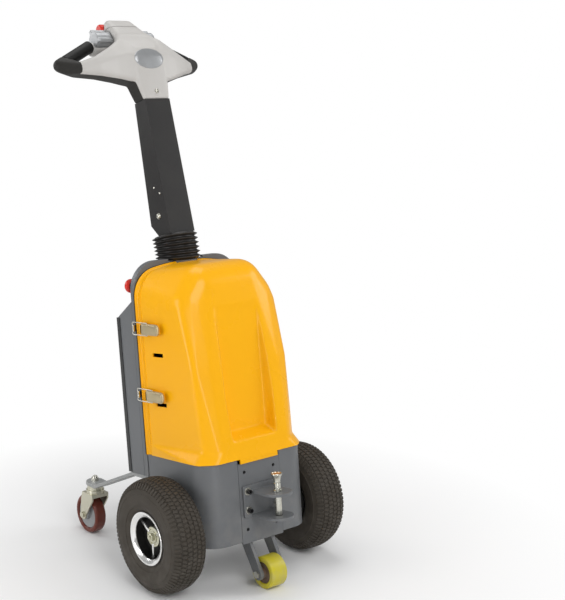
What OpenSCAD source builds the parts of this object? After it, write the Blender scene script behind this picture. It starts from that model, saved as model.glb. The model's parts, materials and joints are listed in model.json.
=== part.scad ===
// Electric tugger: a battery tow unit on two drive wheels, with two casters, a front roller,
// a drop-pin hitch and a tilting tiller. Millimetres, +Z up, the hitch towards -Y.

/* [Drive wheels] */
// Outer diameter of the drive tyre
tyre_d = 267; // [250:1:285]
// Width of the drive tyre
tyre_w = 90; // [80:1:96]
// Rounding of the tyre shoulder
tyre_shoulder = 28; // [20:1:32]
// Distance between the middles of the two drive tyres
track = 420; // [400:1:470]
// Gap between a drive tyre and the side of the housing
wheel_gap = 13; // [8:1:20]
// Diameter over the rim lip
rim_d = 124; // [116:1:132]
// Width of the polished rim ring, seen from the side
rim_ring = 13; // [10:1:15]
// Distance from the tyre's middle to the outer face of the rim lip
rim_reach = 40; // [36:1:43]
// Number of rim spokes
spoke_count = 3; // [3:1:6]
// Width of a rim spoke
spoke_w = 7; // [5:1:10]
// Diameter of the drive shaft
shaft_d = 25; // [20:1:28]
// Diameter of the hub cap
hub_d = 36; // [32:1:42]

/* [Lower housing] */
// Lean of the body towards the operator, in degrees
lean = 6.5; // [5:0.5:8]
// Distance from the drive axle to the housing's front face
house_front = 112; // [106:1:118]
// Rounding of the housing's front corners
house_corner = 57; // [45:1:62]
// Depth of the housing below the drive axle
house_drop = 33; // [28:1:38]
// Height of the wrap sheets above the drive axle
wrap_top = 160; // [150:1:170]
// Sheet thickness of the housing
sheet_t = 4; // [3:0.5:6]
// Width of the front plate
plate_w = 121; // [112:1:130]
// Diameter of the accessory holes in the front plate
plate_hole_d = 8; // [6:0.5:11]
// Spacing of the accessory holes across the machine
plate_hole_x = 86; // [70:1:96]
// Height of the upper accessory holes above the drive axle
plate_hole_high = 128; // [120:1:135]
// Depth of the lower accessory holes below the drive axle
plate_hole_low = 6; // [0:1:12]

/* [Column] */
// Distance from the drive axle back to the seam behind the cover
seam_y = 112; // [106:1:118]
// Step from the housing's side out to the column's side
column_step = 2; // [1:0.5:4]
// Depth of the column frame behind the seam
frame_t = 16; // [12:1:20]
// Height of the column frame above the drive axle
frame_top = 611; // [600:1:620]
// Rounding of the frame's upper corners
frame_corner = 66; // [52:1:74]
// Radius of the crown across the top of the cover
crown_r = 560; // [420:5:800]
// Width of the frame's flange
frame_flange = 20; // [14:1:24]
// Distance from the drive axle to the back of the column box
column_back = 188; // [180:1:200]
// Height of the column's bottom above the drive axle
column_low = 105; // [98:1:112]
// Height of the column box above the drive axle, at its back
column_high = 483; // [470:1:490]
// Rise of the sloping console from the column's back to the frame
console_rise = 38; // [30:1:44]
// Thickness of the black rear panel
panel_t = 5; // [3:1:8]

/* [Cover] */
// Wall thickness of the moulded cover
cover_wall = 4; // [3:0.5:5]
// Height of the cover's crown above the drive axle
cover_top = 602; // [594:1:608]
// Distance from the drive axle to the cover's upper front edge
cover_brow = 60; // [54:1:66]
// Inset of the cover's upper front from its rear edge, on each side
brow_inset = 12; // [8:1:16]
// Height of the ledge under the front recess
recess_low = 203; // [196:1:212]
// Width of the recess at its mouth
recess_w = 140; // [124:1:150]
// Distance from the drive axle to the floor of the recess
recess_floor = 77; // [74:1:84]

/* [Hitch] */
// Distance from the drive axle to the hitch pin
pin_reach = 173; // [165:1:185]
// Diameter of the hitch pin
pin_d = 16; // [14:0.5:20]
// Diameter of the pin's flared head
pin_head_d = 26; // [24:1:30]
// Height of the pin's head above the drive axle
pin_top = 127; // [118:1:135]
// Width of the hitch ears
ear_w = 68; // [60:1:70]
// Thickness of a hitch ear
ear_t = 6; // [5:0.5:8]
// Height of the lower ear above the drive axle
ear_low = 24; // [18:1:30]
// Height of the upper ear above the drive axle
ear_high = 79; // [74:1:84]
// Width of the hitch back plate
hitch_w = 108; // [104:1:114]
// Thickness of the hitch back plate
hitch_t = 6; // [5:0.5:8]

/* [Front roller] */
// Diameter of the front roller
roller_d = 75; // [68:1:80]
// Width of the front roller
roller_w = 45; // [40:1:50]
// Distance from the drive axle forward to the roller's axle
roller_y = 138; // [130:1:142]
// Diameter of the roller's axle
roller_pin_d = 12; // [10:1:14]
// Thickness of a roller fork arm
fork_t = 9; // [7:1:12]

/* [Casters] */
// Diameter of the caster wheel
caster_d = 100; // [92:1:104]
// Width of the caster wheel
caster_w = 30; // [26:1:34]
// Inset of a caster kingpin from the column's side
caster_inset = 10; // [6:1:16]
// Distance from the drive axle back to the kingpins
caster_y = 378; // [360:1:400]
// Distance by which the caster wheel trails its kingpin
caster_trail = 22; // [18:1:26]
// Height of the caster pad's underside above the floor
pad_z = 133; // [130:1:140]
// Thickness of the caster arm
caster_arm_t = 10; // [8:0.5:12]
// Width of the caster arm at its pad
caster_pad_w = 46; // [42:1:52]
// Diameter of the kingpin
kingpin_d = 12; // [10:1:14]

/* [Tiller] */
// Lean of the tiller from the vertical, at rest, in degrees
arm_lean = 17; // [15:0.5:19]
// Distance from the drive axle back to the tiller pivot, along the body
pivot_y = 129; // [126:1:136]
// Height of the tiller pivot above the drive axle, along the body
pivot_z = 591; // [584:1:596]
// Diameter of the pivot pin
pivot_d = 16; // [14:1:20]
// Width of the tiller arm
arm_w = 71; // [62:1:78]
// Depth of the tiller arm at its foot
arm_depth_low = 74; // [66:1:80]
// Depth of the tiller arm at its neck
arm_depth_high = 46; // [42:1:52]
// Distance of the arm's front face from the pivot axis at its foot
arm_front_low = 28; // [24:1:32]
// Distance of the arm's front face from the pivot axis at the neck
arm_front_high = 24; // [20:1:28]
// Distance from the pivot to the foot of the arm's box section
arm_foot = 76; // [72:1:82]
// Distance from the pivot to the neck of the head
arm_neck = 400; // [380:1:420]
// Outer diameter of the bellows
bellows_d = 110; // [104:1:116]
// Distance of the bellows' middle behind the pivot axis
bellows_back = 8; // [4:1:12]
// Number of bellows folds
bellows_folds = 6; // [4:1:7]
// Half the distance between the loop corners of the head
loop_x = 194; // [186:1:204]
// Diameter of the grips
grip_d = 30; // [28:1:34]
// Half the width of the head's central block
block_x = 40; // [38:1:44]

/* [Hidden] */

$fn = 48;
// Paints, plastics and metals
yellow = "#f5a81c";
grey = "#6b6f72";
light_grey = "#a3a6a6";
black = "#232324";
white = "#d9d7d2";
zinc = "#c9c7b8";
silver = "#d4d6d8";
rubber = "#2f2a27";
// Running clearance of a pin in its bore, on the radius
run = 0.05;
// Gap where two curved faces meet without a fit
ease = 0.3;
// Room that a moving piece keeps from its neighbours
room = 5;
// Overlap of a cutter past the face that it cuts
eps = 1;

axle_z = tyre_d / 2;
// The housing fills the room between the tyres; the column, the cover and the casters follow it
house_w = track - tyre_w - 2 * wheel_gap;
column_w = house_w + 2 * column_step;
cover_w = column_w;
caster_gauge = column_w - 2 * caster_inset;
// Row position, along Y and Z, of a point given along the leaning body
function body_y(y, z) = y * cos(lean) + z * sin(lean);
function body_z(y, z) = axle_z - y * sin(lean) + z * cos(lean);
// Body position of a point given in the row, measured from the drive axle
function lean_y(y, z) = y * cos(lean) - (z - axle_z) * sin(lean);
function lean_z(y, z) = y * sin(lean) + (z - axle_z) * cos(lean);

// Reversing button on the rear end of the head: place in the tiller's frame, and size
belly_v = 106;
belly_s = arm_neck + 206;
belly_d = 32;
belly_w = 88;
// The row's origin lies midway between the foremost ear and the rearmost button
front_reach = body_y(-pin_reach - ear_w / 2, ear_low);
rear_reach = body_y(pivot_y, pivot_z) + belly_v * cos(arm_lean) + belly_s * sin(arm_lean) + belly_d / 2;
mid_y = (front_reach + rear_reach) / 2;

module in_row() translate([0, -mid_y, 0]) children();
module on_body() in_row() translate([0, 0, axle_z]) rotate([-lean, 0, 0]) children();
module on_tiller() on_body() translate([0, pivot_y, pivot_z]) rotate([lean - arm_lean, 0, 0]) children();
module on_right() children();
module on_left() mirror([1, 0, 0]) children();
module both() {
  on_right() children();
  on_left() children();
}
// A round bar along X, centred on the middle plane
module bar_x(d, length) rotate([0, 90, 0]) cylinder(d = d, h = length, center = true);
// A profile drawn in Y and Z, extruded along X from x0 to x1
module across(x0, x1) translate([x0, 0, 0]) rotate([90, 0, 90]) linear_extrude(x1 - x0) children();
// A profile drawn in X and Z, extruded along Y from y0 to y1
module along(y0, y1) translate([0, y1, 0]) rotate([90, 0, 0]) linear_extrude(y1 - y0) children();
// A rectangle with rounded corners, from its low corner
module round_box(size, r) {
  translate([r, 0]) square([size[0] - 2 * r, size[1]]);
  translate([0, r]) square([size[0], size[1] - 2 * r]);
  for (x = [r, size[0] - r], y = [r, size[1] - r]) translate([x, y]) circle(r);
}
// An arch in X and Z: square foot, flat top, rounded upper corners
module arch(w, low, high, r) {
  translate([-w / 2, low]) square([w, high - low - r]);
  translate([r - w / 2, low]) square([w - 2 * r, high - low]);
  for (x = [-1, 1]) translate([x * (w / 2 - r), high - r]) circle(r);
}
// The same with a crown across its top, which runs into the corners without a break
module crowned_arch(w, low, high, r) {
  reach = w / 2 - r;
  corner_z = high - crown_r + sqrt((crown_r - r) * (crown_r - r) - reach * reach);
  crown_x = reach * crown_r / (crown_r - r);
  translate([-w / 2, low]) square([w, corner_z - low]);
  intersection() {
    translate([-crown_x, low]) square([2 * crown_x, high - low]);
    translate([0, high - crown_r]) circle(crown_r, $fn = 240);
  }
  for (x = [-1, 1]) translate([x * reach, corner_z]) circle(r);
}

// Lower housing: derived places
wrap_in = house_w / 2 - sheet_t;
deck_t = 6;
wall_y = seam_y - deck_t;
wall_rise = 60;
shelf_z = 80;
tongue_w = 110;
tongue_drop = 11;
plate_top = wrap_top - tongue_drop - ease;
plate_low = house_drop + 5;
seam_gap = 0.4;

// The plan of the bent housing sheet, grown inwards by a wall
module housing_plan(inset) {
  r = house_corner - inset;
  w = house_w / 2 - inset;
  front = -house_front + inset;
  translate([-w, front + r]) square([2 * w, seam_y - front - r]);
  translate([r - w, front]) square([2 * (w - r), r + eps]);
  for (x = [-1, 1]) translate([x * (w - r), front + r]) circle(r);
}

module base_frame() color(grey) on_body() {
  for (z = [-house_drop, shelf_z]) translate([0, 0, z]) linear_extrude(deck_t) intersection() {
    housing_plan(sheet_t + ease);
    translate([-house_w, -house_w]) square([2 * house_w, house_w + wall_y + eps]);
  }
  translate([-wrap_in + ease, wall_y, -house_drop])
    cube([2 * (wrap_in - ease), seam_y - wall_y, column_low + wall_rise + house_drop]);
}

module wrap_sheet() difference() {
  translate([0, 0, -house_drop]) linear_extrude(wrap_top + house_drop) difference() {
    housing_plan(0);
    housing_plan(sheet_t);
    translate([-house_w, -house_w]) square([house_w + plate_w / 2 + seam_gap, 3 * house_w]);
  }
  bar_x(shaft_d + 4 * room, 2 * house_w);
}
module wrap_left() color(grey) on_body() on_left() wrap_sheet();
module wrap_right() color(grey) on_body() on_right() wrap_sheet();

module front_plate() color(grey) on_body() difference() {
  translate([-plate_w / 2, -house_front, -plate_low]) cube([plate_w, sheet_t, plate_top + plate_low]);
  for (x = [-1, 1], z = [plate_hole_high, -plate_hole_low])
    translate([x * plate_hole_x / 2, -house_front - eps, z])
      rotate([-90, 0, 0]) cylinder(d = plate_hole_d, h = sheet_t + 2 * eps);
}

// Drive unit and battery, each one plain block at its real place
transaxle_w = house_w - 94;
transaxle_front = 70;
transaxle_depth = 150;
axle_tube_d = shaft_d * 2;
module transaxle() color("#55585a") on_body() difference() {
  union() {
    across(-transaxle_w / 2, transaxle_w / 2) translate([-transaxle_front, deck_t - house_drop])
      square([transaxle_depth, shelf_z + house_drop - deck_t]);
    bar_x(axle_tube_d, 2 * wrap_in);
  }
  bar_x(shaft_d + 2 * run, house_w);
}

battery_w = house_w - 68;
battery_front = recess_floor - cover_wall - 11;
battery_depth = wall_y - 8 + battery_front;
battery_h = 250;
module battery_pack() color(black) on_body() across(-battery_w / 2, battery_w / 2)
  translate([-battery_front, shelf_z + deck_t]) square([battery_depth, battery_h]);

// Column: an arched tray that the cover closes on, a box behind it, and a sloping console
boss_d = 74;
boss_top = pivot_z + pivot_d / 2 + 6;
boss_low = boss_top - 48;
bellows_seat = frame_top - 5;
web_t = 5;
module column_frame() color(grey) on_body() difference() {
  along(seam_y, seam_y + frame_t) arch(column_w, column_low, frame_top, frame_corner);
  along(seam_y - eps, seam_y + frame_t - web_t)
    arch(column_w - 2 * frame_flange, column_low + frame_flange,
      frame_top - frame_flange, frame_corner - frame_flange);
  translate([0, pivot_y, boss_low - ease]) cylinder(d = boss_d + 2 * ease, h = frame_top);
  translate([0, pivot_y + bellows_back, bellows_seat]) cylinder(d = bellows_d + 2, h = frame_top);
}

column_y = seam_y + frame_t;
module column_outline(inset) polygon([
  [column_y - (inset > 0 ? eps : 0), column_low + inset],
  [column_back - inset, column_low + inset],
  [column_back - inset, column_high - inset],
  [column_y - (inset > 0 ? eps : 0), column_high + console_rise - inset]
]);
module column_box() color(grey) on_body() difference() {
  across(-column_w / 2, column_w / 2) column_outline(0);
  across(-column_w / 2 + sheet_t, column_w / 2 - sheet_t) column_outline(sheet_t);
}

panel_inset = 1;
panel_rise = 23;
panel_r = 8;
module rear_panel() color(black) on_body() along(column_back, column_back + panel_t)
  translate([panel_inset - column_w / 2, column_low + panel_rise])
    round_box([column_w - 2 * panel_inset, column_high - column_low - panel_rise - panel_inset], panel_r);

// Pivot housing: a round boss through the frame, and a block behind it that sits on the console
slot_w = 46;
slot_front = 22;
slot_drop = 24;
pivot_block_w = 116;
block_shoulder = 18;
block_drop = 36;
module pivot_housing() color(grey) on_body() difference() {
  union() {
    across(-pivot_block_w / 2, pivot_block_w / 2) polygon([
      [column_y, column_high + console_rise],
      [column_back, column_high],
      [column_back, boss_top - block_drop],
      [column_back - block_shoulder, boss_top],
      [column_y, boss_top]
    ]);
    translate([0, pivot_y, boss_low]) cylinder(d = boss_d, h = boss_top - boss_low);
  }
  translate([-slot_w / 2, pivot_y - slot_front, pivot_z - slot_drop])
    cube([slot_w, column_back, 3 * slot_drop]);
  translate([0, pivot_y, pivot_z]) bar_x(pivot_d + 2 * run, pivot_block_w + 2 * eps);
}
module pivot_pin() color(zinc) on_body() translate([0, pivot_y, pivot_z]) bar_x(pivot_d, boss_d - 8);

// Cover: one lean shell that closes on the frame, with a wedge-shaped recess in its front
cover_low = wrap_top + ease;
cover_nose = house_front + 1;
rim_band = 15;
rim_step = 2.5;
arch_r = frame_corner;
// Each front corner is two soft edges with a narrow flat between them, tangent to the housing's corner
edge_r = 24;
edge_leg = house_corner * (2 - sqrt(2));
edge_run = edge_r * tan(22.5);
function corner_at(w, front) = [
  [w - edge_r, edge_leg + edge_run - front],
  [w - edge_leg - edge_run, edge_r - front]
];
shoulder_z = cover_top - 102;
// Columns of the brow table: inset from the side, drop below the crown, radius
brow = [
  [25, 0, 57],
  [0, 36, 54]
];
// The cover's solid form, grown inwards by a wall
module cover_form(inset) {
  over = inset > 0 ? eps : 0;
  hull() {
    along(seam_y - rim_band - 2, seam_y + over)
      crowned_arch(cover_w - 2 * inset, cover_low - over, cover_top - inset, arch_r - inset);
    both() {
      for (c = corner_at(cover_w / 2, cover_nose))
        translate([c[0], c[1], cover_low - over]) cylinder(r = edge_r - inset, h = 3);
      for (c = corner_at(cover_w / 2 - brow_inset, cover_brow + 2))
        translate([c[0], c[1], shoulder_z]) sphere(r = edge_r - inset, $fn = 32);
      for (b = brow)
        translate([cover_w / 2 - brow_inset - b[0] - b[2], b[2] - cover_brow, cover_top - b[1] - b[2]])
          sphere(r = b[2] - inset, $fn = 40);
    }
  }
}
// The wedge that the front recess takes out, grown outwards by a wall.
// Columns of the table: half width beyond that of the recess, distance in front of its floor, and
// height over its foot
recess = [
  [-15, 0, 14],
  [-4, -10, 290],
  [15, 56, -22],
  [18, 56, 290]
];
module recess_form(grow) {
  soft = 10;
  hull() both() for (c = recess)
    translate([recess_w / 2 + c[0] - soft, -recess_floor - c[1] - soft, recess_low + c[2] + soft])
      sphere(r = soft + grow, $fn = 24);
}
latch_y = 51;
latch_z = [304, 460];
latch_len = 68;
latch_h = 26;
pad_x = cover_w / 2 + 3;
slot_y = 39;
slot_z = [285, 400];
slot_len = 37;
slot_h = 8;
module slot_cut(z) hull() for (y = [-1, 1])
  translate([0, slot_y + y * (slot_len - slot_h) / 2, z])
    rotate([0, 90, 0]) cylinder(d = slot_h, h = cover_w + 20, center = true, $fn = 16);
module latch_pad(z) hull() for (y = [-1, 1])
  translate([0, latch_y + y * (latch_len - latch_h) / 2, z])
    rotate([0, 90, 0]) cylinder(d = latch_h - 4, h = 2 * pad_x, center = true, $fn = 24);
module cover() color(yellow) on_body() difference() {
  union() {
    cover_form(0);
    along(seam_y - rim_band, seam_y)
      crowned_arch(cover_w + 2 * rim_step, cover_low, cover_top + rim_step, arch_r + rim_step);
    for (z = latch_z) latch_pad(z);
    translate([-tongue_w / 2, -cover_nose, cover_low - tongue_drop])
      cube([tongue_w, cover_wall, tongue_drop + 12]);
  }
  difference() {
    cover_form(cover_wall);
    recess_form(cover_wall);
  }
  recess_form(0);
  for (z = slot_z) slot_cut(z);
  translate([0, pivot_y, boss_low]) cylinder(d = boss_d + 2 * ease + 2, h = frame_top);
}

// Toggle latches on the cover's sides: lever on a pad, wire bail, hook on the column frame
lever_t = 7;
lever_r = 9;
bail_d = 2.5;
hook_x = column_w / 2;
hook_y = seam_y + 4;
hook_w = 5;
hook_h = 16;
bail_x = pad_x + lever_t / 2;
bail_z = (latch_h + bail_d) / 2 + 0.2;
bail_start = latch_y + latch_len / 2 - 24;
bail_end = hook_y + (hook_w + bail_d) / 2 + 0.1;
module at_latches() both() for (z = latch_z) translate([0, 0, z]) children();
module latch_levers() color("#b8a67c") on_body() at_latches() across(pad_x, pad_x + lever_t)
  translate([latch_y - latch_len / 2, -latch_h / 2]) round_box([latch_len, latch_h], lever_r);
module latch_bails() color(zinc) on_body() at_latches() {
  for (z = [-1, 1]) translate([bail_x, bail_start, z * bail_z]) {
    rotate([-90, 0, 0]) cylinder(d = bail_d, h = bail_end - bail_start, $fn = 16);
    sphere(d = bail_d, $fn = 16);
  }
  translate([bail_x, bail_end, 0]) cylinder(d = bail_d, h = 2 * bail_z, center = true, $fn = 16);
}
module latch_hooks() color(zinc) on_body() at_latches()
  translate([hook_x, hook_y - hook_w / 2, -hook_h / 2]) cube([bail_x + bail_d - hook_x, hook_w, hook_h]);

// Emergency stop on the back of the column frame, its button towards the operator
estop_x = column_w / 2 - 20;
estop_z = 555;
collar_d = 28;
collar_t = 6;
stem_d = 20;
estop_rise = 16;
button_d = 33;
button_t = 17;
module on_frame_back() on_body() translate([-estop_x, column_y, estop_z]) rotate([-90, 0, 0]) children();
module estop_base() color("#3a3b3c") on_frame_back() {
  cylinder(d = collar_d, h = collar_t);
  translate([0, 0, collar_t]) cylinder(d = stem_d, h = estop_rise - collar_t);
}
module estop_button() color("#d0241f") on_frame_back() translate([0, 0, estop_rise])
  rotate_extrude() polygon([
    [0, 0],
    [stem_d / 2 + 1, 0],
    [button_d / 2, 5],
    [button_d / 2, button_t - 5],
    [button_d / 2 - 4, button_t - 1],
    [0, button_t]
  ]);

// Hitch: a bolted bracket with two ears and a drop pin
hitch_high = 97;
screw_x = 42;
screw_z = [40, 84];
screw_d = 11;
screw_h = 8;
socket_d = 6;
washer_d = 14;
washer_t = 2;
hitch_face = house_front + hitch_t;
module ear(z) translate([0, 0, z]) difference() {
  linear_extrude(ear_t) {
    translate([0.1 - ear_w / 2, -pin_reach]) square([ear_w - 0.2, pin_reach - hitch_face + eps]);
    translate([0, -pin_reach]) circle(d = ear_w);
  }
  translate([0, -pin_reach, -eps]) cylinder(d = pin_d + 2 * run, h = ear_t + 2 * eps);
}
module hitch_bracket() color(grey) on_body() {
  translate([-hitch_w / 2, -hitch_face, ear_low]) cube([hitch_w, hitch_t, hitch_high - ear_low]);
  ear(ear_low);
  ear(ear_high);
}
module hitch_screws() color("#3a3b3c") on_body()
  for (x = [-1, 1], z = screw_z) translate([x * screw_x, -hitch_face, z]) rotate([90, 0, 0]) {
    cylinder(d = washer_d, h = washer_t);
    translate([0, 0, washer_t]) difference() {
      cylinder(d = screw_d, h = screw_h);
      translate([0, 0, screw_h / 2]) cylinder(d = socket_d, h = screw_h, $fn = 6);
    }
  }
pin_collar_d = pin_d + 5;
module hitch_pin() color(zinc) on_body() translate([0, -pin_reach, 0]) rotate_extrude() polygon([
  [0, ear_low - 5],
  [pin_d / 2 - 3, ear_low - 5],
  [pin_d / 2, ear_low + 12],
  [pin_d / 2, ear_high + ear_t],
  [pin_collar_d / 2, ear_high + ear_t],
  [pin_collar_d / 2, ear_high + ear_t + 5],
  [pin_d / 2, ear_high + ear_t + 5],
  [pin_d / 2, pin_top - 14],
  [pin_head_d / 2 - 2, pin_top - 5],
  [pin_head_d / 2, pin_top - 3],
  [pin_head_d / 2, pin_top],
  [0, pin_top]
]);

// Front roller in its fork
roller_z = roller_d / 2;
roller_at = [lean_y(-roller_y, roller_z), lean_z(-roller_y, roller_z)];
fork_in = roller_w / 2 + room + ease;
fork_end_d = 28;
fork_root = [-house_front + sheet_t + 6, -house_front + sheet_t + 40];
roller_nut_d = 18;
roller_nut_t = 5;
module fork_arms() color(grey) on_body() both() difference() {
  across(fork_in, fork_in + fork_t) {
    polygon([
      [fork_root[0], -house_drop],
      [fork_root[1], -house_drop],
      [roller_at[0] + fork_end_d * 0.42, roller_at[1] - fork_end_d * 0.24],
      [roller_at[0] - fork_end_d * 0.42, roller_at[1] + fork_end_d * 0.24]
    ]);
    translate(roller_at) circle(d = fork_end_d);
  }
  translate([0, roller_at[0], roller_at[1]]) bar_x(roller_pin_d + 2 * run, 4 * fork_in + 4 * fork_t);
}
module at_roller() in_row() translate([0, -roller_y, roller_z]) children();
module roller_axle() color(zinc) at_roller() {
  bar_x(roller_pin_d, 2 * (fork_in + fork_t + roller_nut_t - 2));
  both() translate([fork_in + fork_t, 0, 0])
    rotate([0, 90, 0]) cylinder(d = roller_nut_d, h = roller_nut_t, $fn = 6);
}
roller_core_d = 50;
module roller_core() color("#6a5340") at_roller() difference() {
  union() {
    bar_x(roller_core_d, roller_w - 4);
    bar_x(roller_pin_d + 12, 2 * (fork_in - ease));
  }
  bar_x(roller_pin_d + 2 * run, 4 * fork_in);
}
module roller_tread() color("#d6d62a") at_roller() rotate([0, 90, 0]) rotate_extrude()
  translate([roller_core_d / 2, -roller_w / 2]) round_box([(roller_d - roller_core_d) / 2, roller_w], 3);

// Caster arms: flat bars, bent from the column's underside down to a level pad
pad_top = pad_z + caster_arm_t;
arm_root = [body_y(seam_y, column_low), body_z(seam_y, column_low)];
arm_bend = [body_y(column_back, column_low), body_z(column_back, column_low)];
pad_run = caster_pad_w / 2 + 6;
arm_root_in = column_w / 2 - 62;
arm_root_out = column_w / 2 - 4;
caster_x = caster_gauge / 2;
module caster_arm() intersection() {
  across(0, column_w) polygon([
    arm_root, arm_bend,
    [caster_y - pad_run, pad_top], [caster_y + caster_pad_w, pad_top],
    [caster_y + caster_pad_w, pad_z], [caster_y - pad_run, pad_z],
    [arm_bend[0], arm_bend[1] - caster_arm_t], [arm_root[0], arm_root[1] - caster_arm_t]
  ]);
  difference() {
    linear_extrude(2 * tyre_d) {
      polygon([
        [arm_root_in, arm_root[0]], [arm_root_out, arm_root[0]], [arm_root_out, arm_bend[0]],
        [caster_x + caster_pad_w / 2 - 0.1, caster_y - pad_run],
        [caster_x + caster_pad_w / 2 - 0.1, caster_y],
        [caster_x - caster_pad_w / 2 + 0.1, caster_y],
        [caster_x - caster_pad_w / 2 + 0.1, caster_y - pad_run],
        [arm_root_in, arm_bend[0]]
      ]);
      translate([caster_x, caster_y]) circle(d = caster_pad_w);
    }
    translate([caster_x, caster_y, 0]) cylinder(d = kingpin_d + 2 * run, h = 2 * tyre_d);
  }
}
module caster_arm_left() color(light_grey) in_row() on_left() caster_arm();
module caster_arm_right() color(light_grey) in_row() on_right() caster_arm();

crown_z = caster_d + 4;
crown_t = 9;
kingpin_nut_d = 21;
kingpin_nut_t = 7;
kingpin_cap_d = 17;
module kingpins() color(zinc) in_row() both() translate([caster_x, caster_y, 0]) {
  translate([0, 0, crown_z]) cylinder(d = kingpin_d, h = pad_top - crown_z + 4);
  translate([0, 0, pad_top]) cylinder(d = kingpin_nut_d, h = kingpin_nut_t, $fn = 6);
  translate([0, 0, pad_top + kingpin_nut_t - 1]) intersection() {
    sphere(d = kingpin_cap_d);
    cylinder(d = kingpin_nut_d, h = kingpin_cap_d);
  }
}

// Caster: a pressed fork that turns on the kingpin, and a wheel on its axle bolt
leg_in = caster_w / 2 + room + 0.5;
leg_t = 4;
leg_r = 12;
caster_pin_d = 10;
caster_nut_d = 16;
caster_nut_t = 5;
caster_hub_d = 28;
race_d = 46;
race_t = 8;
module at_caster() translate([caster_x, caster_y, 0]) children();
module caster_fork() at_caster() {
  difference() {
    union() {
      translate([-leg_in - leg_t, -race_d / 2, crown_z]) cube([2 * (leg_in + leg_t), race_d, crown_t]);
      translate([0, 0, crown_z + crown_t]) cylinder(d = race_d, h = race_t);
      translate([0, 0, crown_z + crown_t + race_t])
        cylinder(d = race_d - 6, h = pad_z - ease - crown_z - crown_t - race_t);
    }
    translate([0, 0, crown_z - eps]) cylinder(d = kingpin_d + 2 * run, h = pad_z);
  }
  both() across(leg_in, leg_in + leg_t) {
    polygon([
      [-race_d / 2, crown_z + crown_t], [race_d / 2, crown_z + crown_t], [race_d / 2 + 6, crown_z - 10],
      [caster_trail + leg_r, caster_d / 2], [caster_trail - leg_r, caster_d / 2], [-race_d / 2, crown_z - 6]
    ]);
    translate([caster_trail, caster_d / 2]) circle(leg_r + 0.2);
  }
  translate([0, caster_trail, caster_d / 2]) {
    bar_x(caster_pin_d, 2 * (leg_in + leg_t + caster_nut_t - 3));
    both() translate([leg_in + leg_t, 0, 0])
      rotate([0, 90, 0]) cylinder(d = caster_nut_d, h = caster_nut_t, $fn = 6);
  }
}
module caster_fork_left() color(zinc) in_row() on_left() caster_fork();
module caster_fork_right() color(zinc) in_row() on_right() caster_fork();
module at_caster_wheel() at_caster() translate([0, caster_trail, caster_d / 2]) children();
caster_core_d = 74;
module caster_core() at_caster_wheel() difference() {
  union() {
    bar_x(caster_core_d, caster_w - 8);
    bar_x(caster_hub_d, 2 * (leg_in - ease));
  }
  bar_x(caster_pin_d + 2 * run, 4 * leg_in);
}
module caster_tread() at_caster_wheel() rotate([0, 90, 0]) rotate_extrude()
  translate([caster_core_d / 2, -caster_w / 2]) round_box([(caster_d - caster_core_d) / 2, caster_w], 6);
module caster_core_left() color("#8e9092") in_row() on_left() caster_core();
module caster_core_right() color("#8e9092") in_row() on_right() caster_core();
module caster_tread_left() color("#5c201c") in_row() on_left() caster_tread();
module caster_tread_right() color("#5c201c") in_row() on_right() caster_tread();

// Drive wheels, drawn for the right side: the wheel's own X runs outwards from the tyre's middle
bead_d = rim_d - 9;
ring_d = rim_d - 2 * rim_ring;
ring_in = 14;
web_u = -6;
boss_u = 21;
module at_wheel() in_row() translate([track / 2, 0, axle_z]) children();
module revolve_x() rotate([0, 90, 0]) rotate_extrude() children();
module tyre() at_wheel() revolve_x() difference() {
  wall = (tyre_d - bead_d) / 2 - ease;
  low = bead_d / 2 + ease;
  bead_r = 14;
  union() {
    translate([low + bead_r, -tyre_w / 2]) square([wall - bead_r - tyre_shoulder, tyre_w]);
    translate([low, bead_r - tyre_w / 2]) square([bead_r + eps, tyre_w - 2 * bead_r]);
    translate([tyre_d / 2 - tyre_shoulder - eps, tyre_shoulder - tyre_w / 2])
      square([tyre_shoulder + eps, tyre_w - 2 * tyre_shoulder]);
    for (y = [-1, 1]) {
      translate([low + bead_r, y * (tyre_w / 2 - bead_r)]) circle(bead_r);
      translate([tyre_d / 2 - tyre_shoulder, y * (tyre_w / 2 - tyre_shoulder)]) circle(tyre_shoulder);
    }
  }
  for (y = [0, 1]) mirror([0, y]) translate([0, rim_reach - 8]) square([rim_d / 2 + ease, tyre_w]);
}
module rim() at_wheel() difference() {
  union() {
    revolve_x() polygon([
      [ring_d / 2, ring_in], [bead_d / 2, ring_in], [bead_d / 2, rim_reach - 7],
      [rim_d / 2, rim_reach - 4], [rim_d / 2, rim_reach - 1], [rim_d / 2 - 2, rim_reach],
      [rim_d / 2 - 6, rim_reach], [ring_d / 2 + 2, rim_reach - 10]
    ]);
    for (i = [0:spoke_count - 1]) rotate([i * 360 / spoke_count, 0, 0])
      translate([ring_in + 1, -spoke_w / 2, hub_d / 2 - 5])
        cube([boss_u - ring_in - 1, spoke_w, (ring_d - hub_d) / 2 + 7]);
    rotate([0, 90, 0]) cylinder(d = hub_d - 4, h = boss_u);
  }
  bar_x(shaft_d + 2 * run, 4 * tyre_w);
}
module dish() at_wheel() difference() {
  revolve_x() {
    polygon([
      [bead_d / 2 - 5, -rim_reach], [rim_d / 2, -rim_reach], [rim_d / 2, 5 - rim_reach],
      [bead_d / 2, 8 - rim_reach], [bead_d / 2, ring_in], [bead_d / 2 - 5, ring_in]
    ]);
    translate([0, web_u]) square([bead_d / 2 - 2, -web_u]);
  }
  bar_x(shaft_d + 2 * run, 4 * tyre_w);
}
hub_face = 27;
shaft_in = 30;
hub_nut_d = 19;
hub_nut_t = 7;
flange_d = 60;
flange_t = 8;
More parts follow.
